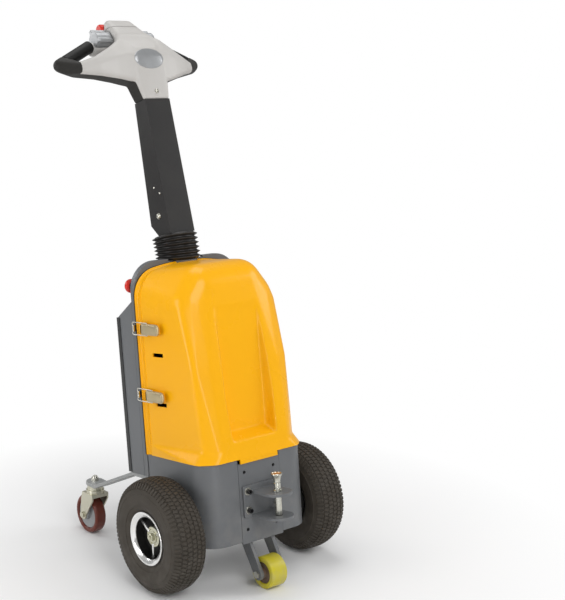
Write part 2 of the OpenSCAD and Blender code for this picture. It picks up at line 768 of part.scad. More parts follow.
module hub() in_row() translate([0, 0, axle_z]) rotate([0, 90, 0]) {
  translate([0, 0, transaxle_w / 2 - shaft_in])
    cylinder(d = shaft_d, h = track / 2 + boss_u - transaxle_w / 2 + shaft_in);
  translate([0, 0, track / 2 + boss_u]) cylinder(d = hub_d, h = hub_face - boss_u);
  translate([0, 0, track / 2 + hub_face]) cylinder(d = hub_nut_d, h = hub_nut_t, $fn = 6);
  translate([0, 0, track / 2 + web_u - flange_t]) cylinder(d = flange_d, h = flange_t);
}
module tyre_left() color(rubber) on_left() tyre();
module tyre_right() color(rubber) on_right() tyre();
module rim_left() color(silver) on_left() rim();
module rim_right() color(silver) on_right() rim();
module dish_left() color(black) on_left() dish();
module dish_right() color(black) on_right() dish();
module hub_left() color(zinc) on_left() hub();
module hub_right() color(zinc) on_right() hub();

// Bellows: rings that stand on the frame's top and turn, one by one, from the body's lean to the tiller's
bellows_bend = arm_lean - lean;
fold_depth = 9;
bellows_wall = 3;
bellows_low = (bellows_seat + ease - pivot_z + bellows_back * sin(bellows_bend)) / cos(bellows_bend);
bellows_top = arm_foot - ease;
fold_pitch = (bellows_top - bellows_low) / bellows_folds;
fold_lap = 1;
module fold() rotate_extrude() polygon([
  [bellows_d / 2 - fold_depth, -fold_lap],
  [bellows_d / 2, fold_pitch / 2],
  [bellows_d / 2 - fold_depth, fold_pitch],
  [bellows_d / 2 - fold_depth - bellows_wall, fold_pitch],
  [bellows_d / 2 - bellows_wall, fold_pitch / 2],
  [bellows_d / 2 - fold_depth - bellows_wall, -fold_lap]
]);
module bellows() color(black) on_tiller() for (i = [0:bellows_folds - 1])
  translate([0, bellows_back, bellows_low + i * fold_pitch + (i == 0 ? fold_lap : 0)])
    rotate([bellows_bend * (1 - i / (bellows_folds - 1)), 0, 0]) fold();

// Tiller arm: a tapered box section on a narrow shank that hangs on the pivot pin
shank_w = slot_w - 2 * ease;
shank_t = 26;
arm_chin = 25;
arm_chin_h = 30;
arm_back_low = arm_depth_low - arm_front_low;
arm_back_high = arm_depth_high - arm_front_high;
module tiller_arm() color(black) on_tiller() difference() {
  union() {
    across(-arm_w / 2, arm_w / 2) polygon([
      [-arm_front_low, arm_foot],
      [arm_back_low - arm_chin, arm_foot],
      [arm_back_low, arm_foot + arm_chin_h],
      [arm_back_high, arm_neck],
      [-arm_front_high, arm_neck]
    ]);
    across(-shank_w / 2, shank_w / 2) {
      translate([-shank_t / 2, 0]) square([shank_t, arm_foot + 5]);
      circle(d = shank_t + 4);
    }
  }
  bar_x(pivot_d + 2 * run, 2 * slot_w);
}

// Tiller head: one moulded form, split into a black base and a white cover.
// Columns of the wing table: x, distance behind the arm's axis, heights over the neck of the
// low and middle points, then distance and height of the top point
wing = [
  [26, -11, 51, 105, 47, 181],
  [54, -7, 57, 108, 11, 145],
  [81, -1, 66, 102, 11, 127],
  [119, 14, 79, 93, 19, 107],
  [158, 38, 91, 94, 39, 97]
];
// The section that the neck widens to, on the same columns
shoulder = [38, -9, 58, 106, 29, 164];
wing_r = 11;
wing_keel = 34;
wing_end = 160;
tip_at = [loop_x, 70, arm_neck + 108];
tip_drop = [10, 6, 11];
grip_in = [96, 79, arm_neck + 158];
grip_dir = (grip_in - tip_at) / norm(grip_in - tip_at);
grip_start = 18;
grip_length = norm(grip_in - tip_at) - grip_start;
grip_ease = 0.1;
// A frame whose Z runs along the grip, from the loop's corner inwards
module along_grip() translate(tip_at)
  rotate([0, acos(grip_dir[2]), atan2(grip_dir[1], grip_dir[0])]) children();
module grip_room() both() along_grip() translate([0, 0, grip_start - grip_ease])
  cylinder(d = grip_d + 2 * grip_ease, h = grip_length + 2 * grip_ease);
module wing_ball(x, v, s) translate([x, v, arm_neck + s]) sphere(r = wing_r, $fn = 20);
module wing_section(w) {
  wing_ball(w[0], w[1], w[2]);
  wing_ball(w[0], w[1] + wing_keel, w[2]);
  wing_ball(w[0], w[1], w[3]);
  wing_ball(w[0], w[4], w[5]);
}
// Columns of the two block tables: half width, distance behind the arm's axis, height, radius
block = [
  [block_x, -4, 120, 14],
  [block_x + 12, 12, 142, 13],
  [block_x, 56, 186, 14],
  [block_x, 82, 212, 13],
  [block_x, 96, 192, 13],
  [block_x, 74, 142, 13],
  [block_x, 24, 118, 13]
];
pod = [
  [104, 82, 152, 18],
  [50, 76, 152, 16],
  [50, 92, 152, 16]
];
module half_head() {
  for (i = [0:len(wing) - 2]) hull() {
    wing_section(wing[i]);
    wing_section(wing[i + 1]);
  }
  hull() {
    wing_section(wing[len(wing) - 1]);
    translate(tip_at) sphere(r = grip_d / 2 + 1, $fn = 20);
    translate(tip_at - tip_drop) sphere(r = wing_r + 1, $fn = 20);
    along_grip() translate([0, 0, grip_start - 4]) cylinder(d = grip_d + 2, h = 4, $fn = 24);
  }
  hull() for (b = pod) translate([b[0] - b[3], b[1], arm_neck + b[2]]) sphere(r = b[3], $fn = 20);
}
module head_form() difference() {
  union() {
    both() half_head();
    hull() {
      translate([-arm_w / 2, -arm_front_high, arm_neck]) cube([arm_w, arm_depth_high, 1]);
      both() wing_section(shoulder);
    }
    hull() both() {
      wing_section(wing[0]);
      for (b = block) translate([b[0] - b[3], b[1], arm_neck + b[2]]) sphere(r = b[3], $fn = 20);
    }
  }
  grip_room();
  both() across(block_x, block_x + paddle_w + room) paddle_outline(paddle_room);
  translate([0, belly_v, belly_s]) bar_x(belly_d + 2 * ease, belly_w + 2 * ease);
}
// The space in front of and above the parting surface, which the white cover fills.
// Columns of the parting table: x, depth of the white cover's edge
parting = [
  [wing_end, 42],
  [119, 15],
  [81, -3],
  [54, -10],
  [36, -17]
];
module cover_zone() {
  translate([0, 0, arm_neck - eps]) linear_extrude(140) polygon(concat(
    [[-wing_end, -80], [wing_end, -80]],
    parting,
    [for (i = [len(parting) - 1:-1:0]) [-parting[i][0], parting[i][1]]]
  ));
  translate([0, 0, arm_neck]) across(-wing_end, wing_end)
    polygon([[-80, 98], [-12, 98], [30, 122], [140, 122], [140, 260], [-80, 260]]);
}
module head_base() color(black) on_tiller() difference() {
  head_form();
  cover_zone();
}
module head_cover() color(white) on_tiller() intersection() {
  head_form();
  cover_zone();
}
module grip() along_grip() translate([0, 0, grip_start]) cylinder(d = grip_d, h = grip_length);
module grip_right() color(black) on_tiller() on_right() grip();
module grip_left() color(black) on_tiller() on_left() grip();

// Throttle: a drum on each flank of the block, in a cradle, with two thumb wings
paddle_w = 44;
paddle_d = 42;
paddle_at = [76, arm_neck + 172];
paddle_reach = 29;
paddle_t = 10;
paddle_turn = [72, 195];
paddle_room = 1.5;
module paddle_outline(grow) translate(paddle_at) {
  circle(d = paddle_d + 2 * grow);
  for (a = paddle_turn) rotate(a)
    translate([0, -paddle_t / 2 - grow]) square([paddle_reach + grow, paddle_t + 2 * grow]);
}
module throttle() color(silver) on_tiller() both() across(block_x, block_x + paddle_w) paddle_outline(0);
module belly_button() color("#d0371f") on_tiller() translate([0, belly_v, belly_s]) bar_x(belly_d, belly_w);

base_frame();
wrap_left();
wrap_right();
front_plate();
transaxle();
battery_pack();
column_frame();
column_box();
rear_panel();
pivot_housing();
pivot_pin();
cover();
latch_levers();
latch_bails();
latch_hooks();
estop_base();
estop_button();
hitch_bracket();
hitch_screws();
hitch_pin();
fork_arms();
roller_axle();
roller_tread();
roller_core();
caster_arm_left();
caster_arm_right();
kingpins();
caster_fork_left();
caster_fork_right();
caster_tread_left();
caster_tread_right();
caster_core_left();
caster_core_right();
tyre_left();
tyre_right();
rim_left();
rim_right();
dish_left();
dish_right();
hub_left();
hub_right();
bellows();
tiller_arm();
head_base();
head_cover();
grip_left();
grip_right();
throttle();
belly_button();
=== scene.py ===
"""Electric tugger: the finish of every surface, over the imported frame."""

import json
from math import atan2, cos, pi, radians, sin, sqrt, tau

import bmesh
import bpy
from mathutils import Matrix, Vector
from mathutils.bvhtree import BVHTree

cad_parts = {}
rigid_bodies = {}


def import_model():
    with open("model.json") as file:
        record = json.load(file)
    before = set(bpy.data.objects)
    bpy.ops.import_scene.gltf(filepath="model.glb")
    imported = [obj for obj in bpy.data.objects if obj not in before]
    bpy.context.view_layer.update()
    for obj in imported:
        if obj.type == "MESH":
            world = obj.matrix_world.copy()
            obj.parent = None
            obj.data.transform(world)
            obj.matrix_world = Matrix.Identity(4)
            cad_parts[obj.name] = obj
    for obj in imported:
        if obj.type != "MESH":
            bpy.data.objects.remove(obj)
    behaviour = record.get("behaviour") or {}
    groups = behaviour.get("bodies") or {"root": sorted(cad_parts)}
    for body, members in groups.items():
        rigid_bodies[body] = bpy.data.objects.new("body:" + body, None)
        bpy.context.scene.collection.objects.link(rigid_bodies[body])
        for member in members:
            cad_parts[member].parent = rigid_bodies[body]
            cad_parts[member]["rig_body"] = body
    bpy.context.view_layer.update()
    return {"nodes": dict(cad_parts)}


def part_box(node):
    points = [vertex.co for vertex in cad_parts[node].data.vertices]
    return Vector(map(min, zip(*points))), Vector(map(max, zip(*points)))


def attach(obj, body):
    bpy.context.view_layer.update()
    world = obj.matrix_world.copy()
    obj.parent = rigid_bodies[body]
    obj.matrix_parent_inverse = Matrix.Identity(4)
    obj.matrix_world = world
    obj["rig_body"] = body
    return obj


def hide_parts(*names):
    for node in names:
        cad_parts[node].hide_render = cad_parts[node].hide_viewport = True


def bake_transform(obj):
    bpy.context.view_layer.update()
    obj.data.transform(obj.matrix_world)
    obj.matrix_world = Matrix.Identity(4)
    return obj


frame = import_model()
nodes = frame["nodes"]


# Lower housing: bent and welded steel sheet, powder coated in a mid grey.
# The body leans back on its drive axle, so its pieces are placed in a leaning frame.
# Powder coat has a fine peel, and road dust settles low down on it.
AXLE_Y, AXLE_Z, LEAN = -0.143333, 0.1335, -6.5
BODY = Matrix.Translation((0.0, AXLE_Y, AXLE_Z)) @ Matrix.Rotation(radians(LEAN), 4, "X")


def group(name, inputs, outputs):
    """A shader node group with its named sockets, its input node and its output node."""
    made = bpy.data.node_groups.new(name, "ShaderNodeTree")
    for socket, kind in inputs:
        made.interface.new_socket(socket, in_out="INPUT", socket_type=kind)
    for socket, kind in outputs:
        made.interface.new_socket(socket, in_out="OUTPUT", socket_type=kind)
    return made, made.nodes.new("NodeGroupInput"), made.nodes.new("NodeGroupOutput")


def noise(tree, scale, detail, place):
    """A noise texture on Object coordinates; scale is a number or an output socket."""
    texture = tree.nodes.new("ShaderNodeTexNoise")
    texture.inputs["Detail"].default_value = detail
    tree.links.new(place, texture.inputs["Vector"])
    if isinstance(scale, (int, float)):
        texture.inputs["Scale"].default_value = scale
    else:
        tree.links.new(scale, texture.inputs["Scale"])
    return texture.outputs["Fac"]


def ranged(tree, value, low, high, to_low=0.0, to_high=1.0):
    """A value mapped from one range to another, and held at its ends."""
    ramp = tree.nodes.new("ShaderNodeMapRange")
    tree.links.new(value, ramp.inputs["Value"])
    for socket, number in (("From Min", low), ("From Max", high), ("To Min", to_low), ("To Max", to_high)):
        ramp.inputs[socket].default_value = number
    return ramp.outputs["Result"]


def maths(tree, operation, first, second):
    """One Math node on two sockets or numbers."""
    sum_node = tree.nodes.new("ShaderNodeMath")
    sum_node.operation = operation
    for socket, value in zip(sum_node.inputs, (first, second)):
        if isinstance(value, (int, float)):
            socket.default_value = value
        else:
            tree.links.new(value, socket)
    return sum_node.outputs["Value"]


def mixed(tree, factor, first, second):
    """Two colours mixed by a factor; each is a socket or four numbers."""
    mix = tree.nodes.new("ShaderNodeMix")
    mix.data_type = "RGBA"
    tree.links.new(factor, mix.inputs["Factor"])
    for socket, value in ((mix.inputs[6], first), (mix.inputs[7], second)):
        if isinstance(value, tuple):
            socket.default_value = value
        else:
            tree.links.new(value, socket)
    return mix.outputs[2]


# Handling tone: broad stains over a colour, with a roughness that wanders with them
tone, tone_in, tone_out = group(
    "handling_tone",
    [("Colour", "NodeSocketColor"), ("Stain", "NodeSocketColor"), ("Amount", "NodeSocketFloat"),
     ("Scale", "NodeSocketFloat"), ("Roughness", "NodeSocketFloat"), ("Swing", "NodeSocketFloat")],
    [("Colour", "NodeSocketColor"), ("Roughness", "NodeSocketFloat")])
tone_place = tone.nodes.new("ShaderNodeTexCoord").outputs["Object"]
tone_broad = noise(tone, tone_in.outputs["Scale"], 6.0, tone_place)
tone_mask = maths(tone, "MULTIPLY", ranged(tone, tone_broad, 0.42, 0.70), tone_in.outputs["Amount"])
tone.links.new(mixed(tone, tone_mask, tone_in.outputs["Colour"], tone_in.outputs["Stain"]),
               tone_out.inputs["Colour"])
tone_swing = maths(tone, "MULTIPLY", maths(tone, "SUBTRACT", tone_broad, 0.5), tone_in.outputs["Swing"])
tone.links.new(maths(tone, "ADD", tone_in.outputs["Roughness"], tone_swing), tone_out.inputs["Roughness"])

# Peel: the fine ripple of powder coat, moulded plastic and rubber, as a height
peel, peel_in, peel_out = group("fine_peel", [("Scale", "NodeSocketFloat")],
                                [("Height", "NodeSocketFloat")])
peel_place = peel.nodes.new("ShaderNodeTexCoord").outputs["Object"]
peel.links.new(noise(peel, peel_in.outputs["Scale"], 3.0, peel_place), peel_out.inputs["Height"])

# Floor dust: a mask that is strongest near the floor and broken up by a noise
dust, dust_in, dust_out = group("floor_dust", [("Reach", "NodeSocketFloat"), ("Amount", "NodeSocketFloat")],
                                [("Mask", "NodeSocketFloat")])
dust_place = dust.nodes.new("ShaderNodeTexCoord").outputs["Object"]
dust_split = dust.nodes.new("ShaderNodeSeparateXYZ")
dust.links.new(dust_place, dust_split.inputs["Vector"])
dust_height = maths(dust, "DIVIDE", dust_split.outputs["Z"], dust_in.outputs["Reach"])
dust_low = ranged(dust, maths(dust, "SUBTRACT", 1.0, dust_height), 0.0, 1.0)
dust_patch = ranged(dust, noise(dust, 38.0, 8.0, dust_place), 0.40, 0.66)
dust_spread = maths(dust, "MULTIPLY", dust_low, dust_patch)
dust.links.new(maths(dust, "MULTIPLY", dust_spread, dust_in.outputs["Amount"]), dust_out.inputs["Mask"])
DUST_REACH, DUST_COLOUR, PEEL_HEIGHT = 0.30, (0.30, 0.28, 0.25, 1.0), 0.0006


def finish(name, colour, stain, roughness, amount=0.5, scale=14.0, swing=0.12, peel_scale=900.0,
           peel_depth=0.0, dusty=0.0, **constants):
    """A finish from its colour, stains, peel and dust; constants are set on the shader itself."""
    made = bpy.data.materials.new(name)
    made.use_nodes = True
    tree = made.node_tree
    shader = tree.nodes["Principled BSDF"]
    for socket, value in constants.items():
        shader.inputs[socket.replace("_", " ")].default_value = value
    aged = tree.nodes.new("ShaderNodeGroup")
    aged.node_tree = tone
    for socket, value in (("Colour", (*colour, 1.0)), ("Stain", (*stain, 1.0)), ("Amount", amount),
                          ("Scale", scale), ("Roughness", roughness), ("Swing", swing)):
        aged.inputs[socket].default_value = value
    top_colour = aged.outputs["Colour"]
    if dusty:
        powder = tree.nodes.new("ShaderNodeGroup")
        powder.node_tree = dust
        powder.inputs["Reach"].default_value = DUST_REACH
        powder.inputs["Amount"].default_value = dusty
        top_colour = mixed(tree, powder.outputs["Mask"], top_colour, DUST_COLOUR)
    tree.links.new(top_colour, shader.inputs["Base Color"])
    tree.links.new(aged.outputs["Roughness"], shader.inputs["Roughness"])
    if peel_depth:
        ripple = tree.nodes.new("ShaderNodeGroup")
        ripple.node_tree = peel
        ripple.inputs["Scale"].default_value = peel_scale
        bump = tree.nodes.new("ShaderNodeBump")
        bump.inputs["Strength"].default_value = peel_depth
        bump.inputs["Distance"].default_value = PEEL_HEIGHT
        tree.links.new(ripple.outputs["Height"], bump.inputs["Height"])
        tree.links.new(bump.outputs["Normal"], shader.inputs["Normal"])
    return made


def settle(shape, name, coat, body, stands_for=(), sharp=35.0):
    """Make a bmesh a piece of the machine: smooth shaded, finished, riding on its body if it has one."""
    mesh = bpy.data.meshes.new(name)
    shape.to_mesh(mesh)
    shape.free()
    mesh.shade_smooth()
    mesh.set_sharp_from_angle(angle=radians(sharp))
    mesh.materials.append(coat)
    piece = bpy.data.objects.new(name, mesh)
    bpy.context.scene.collection.objects.link(piece)
    if body:
        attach(piece, body)
    if stands_for:
        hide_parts(*stands_for)
    return piece


WELD, FLAT = 2e-5, radians(0.4)


def dressed(name, coat, edge=0.0008, segments=2, sharp=35.0):
    """A node's own form with its edges broken, as a skin that stands for the node."""
    node = nodes[name]
    shape = bmesh.new()
    shape.from_mesh(node.data)
    bmesh.ops.remove_doubles(shape, verts=shape.verts, dist=WELD)
    bmesh.ops.dissolve_limit(shape, angle_limit=FLAT, verts=shape.verts, edges=shape.edges)
    piece = settle(shape, name + "_skin", coat, node["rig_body"], (name,), sharp)
    if edge:
        rounding = piece.modifiers.new("edges", "BEVEL")
        rounding.width = edge
        rounding.segments = segments
        rounding.limit_method = "ANGLE"
        rounding.angle_limit = radians(sharp)
        rounding.use_clamp_overlap = True
        rounding.harden_normals = True
    return piece


grey_coat = finish("grey_powder_coat", (0.128, 0.134, 0.141), (0.104, 0.109, 0.114), 0.42, amount=0.45,
                   scale=9.0, peel_depth=0.22, peel_scale=620.0, dusty=0.25)
for name in ("base_frame", "wrap_left", "wrap_right", "front_plate"):
    dressed(name, grey_coat, 0.0011)

# Drive unit and battery: a cast gear case on the axle line and a moulded battery box above it,
# both closed in by the housing and the cover.
case_cast = finish("cast_gear_case", (0.09, 0.095, 0.10), (0.05, 0.05, 0.05), 0.6, peel_depth=0.5,
                   peel_scale=300.0)
dressed("transaxle", case_cast, 0.002)
battery_case = finish("battery_case", (0.020, 0.020, 0.021), (0.035, 0.034, 0.033), 0.5, peel_depth=0.3)
dressed("battery_pack", battery_case, 0.003)


# Column: a folded steel frame with rounded shoulders, a sheet box welded behind it, and a black
# panel on the back, flanged at both sides, that is held by eight pan-head screws.
def turned(profile, steps=48, closed=False):
    """A solid turned about Z from a profile of radius and height."""
    shape = bmesh.new()
    rail = [shape.verts.new((radius, 0.0, height)) for radius, height in profile]
    pairs = list(zip(rail, rail[1:])) + ([(rail[-1], rail[0])] if closed else [])
    for first, second in pairs:
        shape.edges.new((first, second))
    bmesh.ops.spin(shape, geom=shape.verts[:] + shape.edges[:], cent=(0.0, 0.0, 0.0), axis=(0.0, 0.0, 1.0),
                   angle=tau, steps=steps, use_merge=True)
    bmesh.ops.remove_doubles(shape, verts=shape.verts, dist=1e-6)
    bmesh.ops.recalc_face_normals(shape, faces=shape.faces)
    return shape


def gathered(shapes):
    """Several bmeshes as one; each is given up."""
    whole = bmesh.new()
    for shape in shapes:
        mesh = bpy.data.meshes.new("gathered")
        shape.to_mesh(mesh)
        shape.free()
        whole.from_mesh(mesh)
        bpy.data.meshes.remove(mesh)
    return whole


def placed(shape, place):
    """A bmesh moved to its place; a mirrored one has its faces turned out again."""
    bmesh.ops.transform(shape, matrix=place, verts=shape.verts)
    if place.determinant() < 0.0:
        bmesh.ops.reverse_faces(shape, faces=shape.faces)
    return shape


def slab(outline, along, length):
    """A prism: an outline drawn in the plane across the given direction, and extruded along it."""
    shape = bmesh.new()
    shape.faces.new([shape.verts.new(point) for point in outline])
    run = bmesh.ops.extrude_face_region(shape, geom=shape.faces[:])
    bmesh.ops.translate(shape, vec=Vector(along) * length,
                        verts=[item for item in run["geom"] if isinstance(item, bmesh.types.BMVert)])
    bmesh.ops.recalc_face_normals(shape, faces=shape.faces)
    return shape


for name in ("column_frame", "column_box"):
    dressed(name, grey_coat, 0.0014, 3)
panel_sheet = finish("black_panel_sheet", (0.016, 0.017, 0.017), (0.030, 0.030, 0.030), 0.38,
                     peel_depth=0.3)
dressed("rear_panel", panel_sheet, 0.0015)
screw_black = finish("black_oxide", (0.035, 0.035, 0.037), (0.070, 0.065, 0.060), 0.35, Metallic=0.8)
PANEL_FACE, PANEL_SCREW_X, PANEL_SCREW_ROWS = 0.193, 0.139, (0.146, 0.256, 0.360, 0.464)
FLANGE_LOW, FLANGE_LENGTH = 0.107, 0.374
PAN_HEAD = ((0.0, 0.0030), (0.0022, 0.0030), (0.0026, 0.0017), (0.0031, 0.0031), (0.0046, 0.0024),
            (0.0054, 0.0012), (0.0056, -0.0008), (0.0, -0.0008))
panel_screws = []
for screw_z in PANEL_SCREW_ROWS:
    for screw_x in (-PANEL_SCREW_X, PANEL_SCREW_X):
        spot = BODY @ Matrix.Translation((screw_x, PANEL_FACE, screw_z))
        panel_screws.append(placed(turned(PAN_HEAD, 24), spot @ Matrix.Rotation(radians(-90.0), 4, "X")))
settle(gathered(panel_screws), "panel_screws", screw_black, "chassis")
FLANGE = ((0.148, 0.1934), (0.1552, 0.1934), (0.1556, 0.1930), (0.1556, 0.1810), (0.1544, 0.1810),
          (0.1544, 0.1922), (0.148, 0.1922))
flanges = [placed(slab([(x, y, FLANGE_LOW) for x, y in FLANGE], (0.0, 0.0, 1.0), FLANGE_LENGTH),
                  BODY @ Matrix.Diagonal((side, 1.0, 1.0, 1.0))) for side in (-1.0, 1.0)]
settle(gathered(flanges), "panel_flanges", panel_sheet, "chassis")

# Pivot carrier: a steel block welded behind the frame, in the housing's grey. It has a slot for the
# tiller's shank, and a plated pin through both cheeks.
plate_zinc = finish("bright_zinc", (0.62, 0.61, 0.55), (0.46, 0.44, 0.36), 0.28, Metallic=1.0)
dressed("pivot_housing", grey_coat, 0.0018, 3)
dressed("pivot_pin", plate_zinc, 0.0008)


# Cover: one vacuum-formed shell in orange-yellow, held by four latches. All its edges are soft, as the
# sheet is drawn over a mould; a wedge-shaped recess runs up its front. Its rim is a channel and a bead
# that close on the frame over a black seal strip, whose black is partly painted shade for the gap there.
COVER_HALF, COVER_TOP, COVER_LOW, SHEET = 0.154, 0.602, 0.1603, 0.0036
ARCH_CORNER, ARCH_CROWN = 0.066, 0.560
TONGUE_HALF, TONGUE_DROP = 0.055, 0.011


def worked(shape, *steps):
    """A bmesh after some modifiers, each given by its type and its settings."""
    mesh = bpy.data.meshes.new("worked")
    shape.to_mesh(mesh)
    shape.free()
    holder = bpy.data.objects.new("worked", mesh)
    bpy.context.scene.collection.objects.link(holder)
    for kind, settings in steps:
        modifier = holder.modifiers.new(kind.lower(), kind)
        for key, value in settings.items():
            setattr(modifier, key, value)
    bpy.context.view_layer.update()
    done = bmesh.new()
    done.from_object(holder, bpy.context.evaluated_depsgraph_get())
    bpy.data.objects.remove(holder)
    bpy.data.meshes.remove(mesh)
    return done


def cut_by(shape, cutter, operation="DIFFERENCE", solver="EXACT"):
    """A bmesh cut by another, joined to it, or kept only inside it."""
    mesh = bpy.data.meshes.new("cutter")
    cutter.to_mesh(mesh)
    cutter.free()
    tool = bpy.data.objects.new("cutter", mesh)
    bpy.context.scene.collection.objects.link(tool)
    done = worked(shape, ("BOOLEAN", {"operation": operation, "object": tool, "solver": solver}))
    bpy.data.objects.remove(tool)
    bpy.data.meshes.remove(mesh)
    return done


def softened(shape, voxel, passes, keep):
    """A bmesh with all its edges melted, as moulded or drawn sheet has them."""
    return worked(shape, ("REMESH", {"mode": "VOXEL", "voxel_size": voxel}),
                  ("SMOOTH", {"factor": 0.5, "iterations": passes}), ("DECIMATE", {"ratio": keep}))


def wrapped(balls, points=()):
    """The skin that is stretched over balls, each given by its place and radius, and over points."""
    shape = bmesh.new()
    for x, y, z, radius in balls:
        bmesh.ops.create_uvsphere(shape, u_segments=24, v_segments=16, radius=radius,
                                  matrix=Matrix.Translation((x, y, z)))
    bmesh.ops.delete(shape, geom=shape.edges[:], context="EDGES_FACES")
    for point in points:
        shape.verts.new(point)
    skin = bmesh.ops.convex_hull(shape, input=shape.verts[:])
    inside = skin["geom_interior"] + skin["geom_unused"]
    spare = {item for item in inside if isinstance(item, bmesh.types.BMVert)}
    bmesh.ops.delete(shape, geom=list(spare), context="VERTS")
    bmesh.ops.recalc_face_normals(shape, faces=shape.faces)
    return shape


def arch_line(half, low, high, corner=ARCH_CORNER, crown=ARCH_CROWN, steps=12):
    """The rim's outline in X and Z: up one side, round the corner, across the crown and down."""
    reach = half - corner
    lift = sqrt((crown - corner) ** 2 - reach ** 2)
    turn = atan2(reach, lift)
    line = [(half, low)]
    for step in range(steps + 1):
        angle = (pi / 2 - turn) * step / steps
        line.append((reach + corner * cos(angle), high - crown + lift + corner * sin(angle)))
    for step in range(1, steps):
        angle = pi / 2 - turn * (1.0 - step / steps)
        line.append((crown * cos(angle), high - crown + crown * sin(angle)))
    return line + [(0.0, high)] + [(-x, z) for x, z in reversed(line)]


def bar(y, z, half_length, half_height, x_low, x_high):
    """A bar along X with a rectangular section in Y and Z."""
    signs = ((-1.0, -1.0), (1.0, -1.0), (1.0, 1.0), (-1.0, 1.0))
    section = [(x_low, y + along * half_length, z + up * half_height) for along, up in signs]
    return slab(section, (1.0, 0.0, 0.0), x_high - x_low)


def disc_points(x, y, z, radius, steps=32):
    """Points round a level disc."""
    angles = [tau * step / steps for step in range(steps)]
    return [(x + radius * cos(angle), y + radius * sin(angle), z) for angle in angles]


# The mould's skin is stretched over balls. Each front corner is two soft edges of one radius, an outer
# and an inner one, with a narrow flat between; a row gives a height and the middles of both in X and Y.
EDGE, MOULD_LOW, MOULD_REAR = 0.020, 0.130, (0.095, 0.130)
CORNERS = ((0.130, 0.1140, -0.0756, 0.0888, -0.0965), (0.250, 0.1160, -0.0685, 0.0926, -0.0820),
           (0.370, 0.1190, -0.0586, 0.0961, -0.0680), (0.500, 0.1205, -0.0295, 0.0964, -0.0425))
# Two larger balls a side round the shoulders, each given by its place and radius
SHOULDERS = ((0.060, -0.003, 0.545, 0.057), (0.088, -0.006, 0.512, 0.054))
# A foot flares out below the corners to the line of the lower housing
FOOT_EDGE, FOOT_LEVELS, FOOT_LINE = 0.024, (MOULD_LOW, 0.158), ((0.1309, -0.0739), (0.1115, -0.0922))
FOOT_TOP, FOOT_NECK = 0.186, ((0.1149, -0.0715), (0.0903, -0.0891))
# The recess is a wedge: rows of half width, place in Y and height, for its floor and for its mouth
RECESS_EDGE, RECESS_MOUTH = 0.005, -0.143
RECESS = ((0.0530, -0.082, 0.222), (0.0570, -0.071, 0.503), (0.068, RECESS_MOUTH, 0.186),
          (0.094, RECESS_MOUTH, 0.503))
cover_balls, cover_points, foot_points = [], [], []
for side in (-1.0, 1.0):
    for z, outer_x, outer_y, inner_x, inner_y in CORNERS:
        cover_balls += [(side * outer_x, outer_y, z, EDGE), (side * inner_x, inner_y, z, EDGE)]
    cover_balls += [(side * x, y, z, radius) for x, y, z, radius in SHOULDERS]
    for z in FOOT_LEVELS:
        for x, y in FOOT_LINE:
            foot_points += disc_points(side * x, y, z, FOOT_EDGE)
    for x, y in FOOT_NECK:
        foot_points += disc_points(side * x, y, FOOT_TOP, EDGE)
    foot_points += [(side * COVER_HALF, y, z) for y in MOULD_REAR for z in (MOULD_LOW, FOOT_TOP)]
for rear_y in MOULD_REAR:
    cover_points += [(x, rear_y, z) for x, z in arch_line(COVER_HALF, MOULD_LOW, COVER_TOP)]
recess_balls = [(side * half, front, z, RECESS_EDGE) for half, front, z in RECESS for side in (1.0, -1.0)]
shell = cut_by(wrapped(cover_balls, cover_points), wrapped((), foot_points), "UNION")
shell = softened(cut_by(shell, wrapped(recess_balls)), voxel=0.0028, passes=10, keep=0.30)


def trimmed(shape, point, normal, **sides):
    """A bmesh parted along a plane; clear_outer or clear_inner throws one side away."""
    bmesh.ops.bisect_plane(shape, geom=shape.verts[:] + shape.edges[:] + shape.faces[:], dist=1e-6,
                           plane_co=point, plane_no=normal, **sides)


RIM_START = 0.0905
trimmed(shell, (0.0, RIM_START, 0.0), (0.0, 1.0, 0.0), clear_outer=True)
trimmed(shell, (0.0, 0.0, COVER_LOW - TONGUE_DROP), (0.0, 0.0, 1.0), clear_inner=True)
trimmed(shell, (0.0, 0.0, COVER_LOW), (0.0, 0.0, 1.0))
for side in (-1.0, 1.0):
    trimmed(shell, (side * TONGUE_HALF, 0.0, 0.0), (1.0, 0.0, 0.0))
bmesh.ops.delete(shell, context="FACES", geom=[
    face for face in shell.faces
    if face.calc_center_median().z < COVER_LOW and abs(face.calc_center_median().x) > TONGUE_HALF])
bmesh.ops.recalc_face_normals(shell, faces=shell.faces)
shell = worked(shell, ("SOLIDIFY", {"thickness": SHEET, "offset": -1.0}))
SLOT_Y, SLOT_HALF, SLOT_RISE, SLOT_ROWS, PAST_SIDES = 0.043, 0.018, 0.0045, (0.2845, 0.400), 0.18
slots = [bar(SLOT_Y, slot_z, SLOT_HALF, SLOT_RISE, -PAST_SIDES, PAST_SIDES) for slot_z in SLOT_ROWS]
shell = cut_by(shell, gathered(slots))


def arch_strip(rows):
    """A skin along the rim's outline, through rows given by their outward step and their depth."""
    shape = bmesh.new()
    loops = []
    for step, depth in rows:
        outline = arch_line(COVER_HALF + step, COVER_LOW, COVER_TOP + step, ARCH_CORNER + step)
        line = [shape.verts.new((x, depth, z)) for x, z in outline]
        loops.append([shape.edges.new(pair) for pair in zip(line, line[1:])])
    for first, second in zip(loops, loops[1:]):
        bmesh.ops.bridge_loops(shape, edges=first + second)
    bmesh.ops.recalc_face_normals(shape, faces=shape.faces)
    return shape


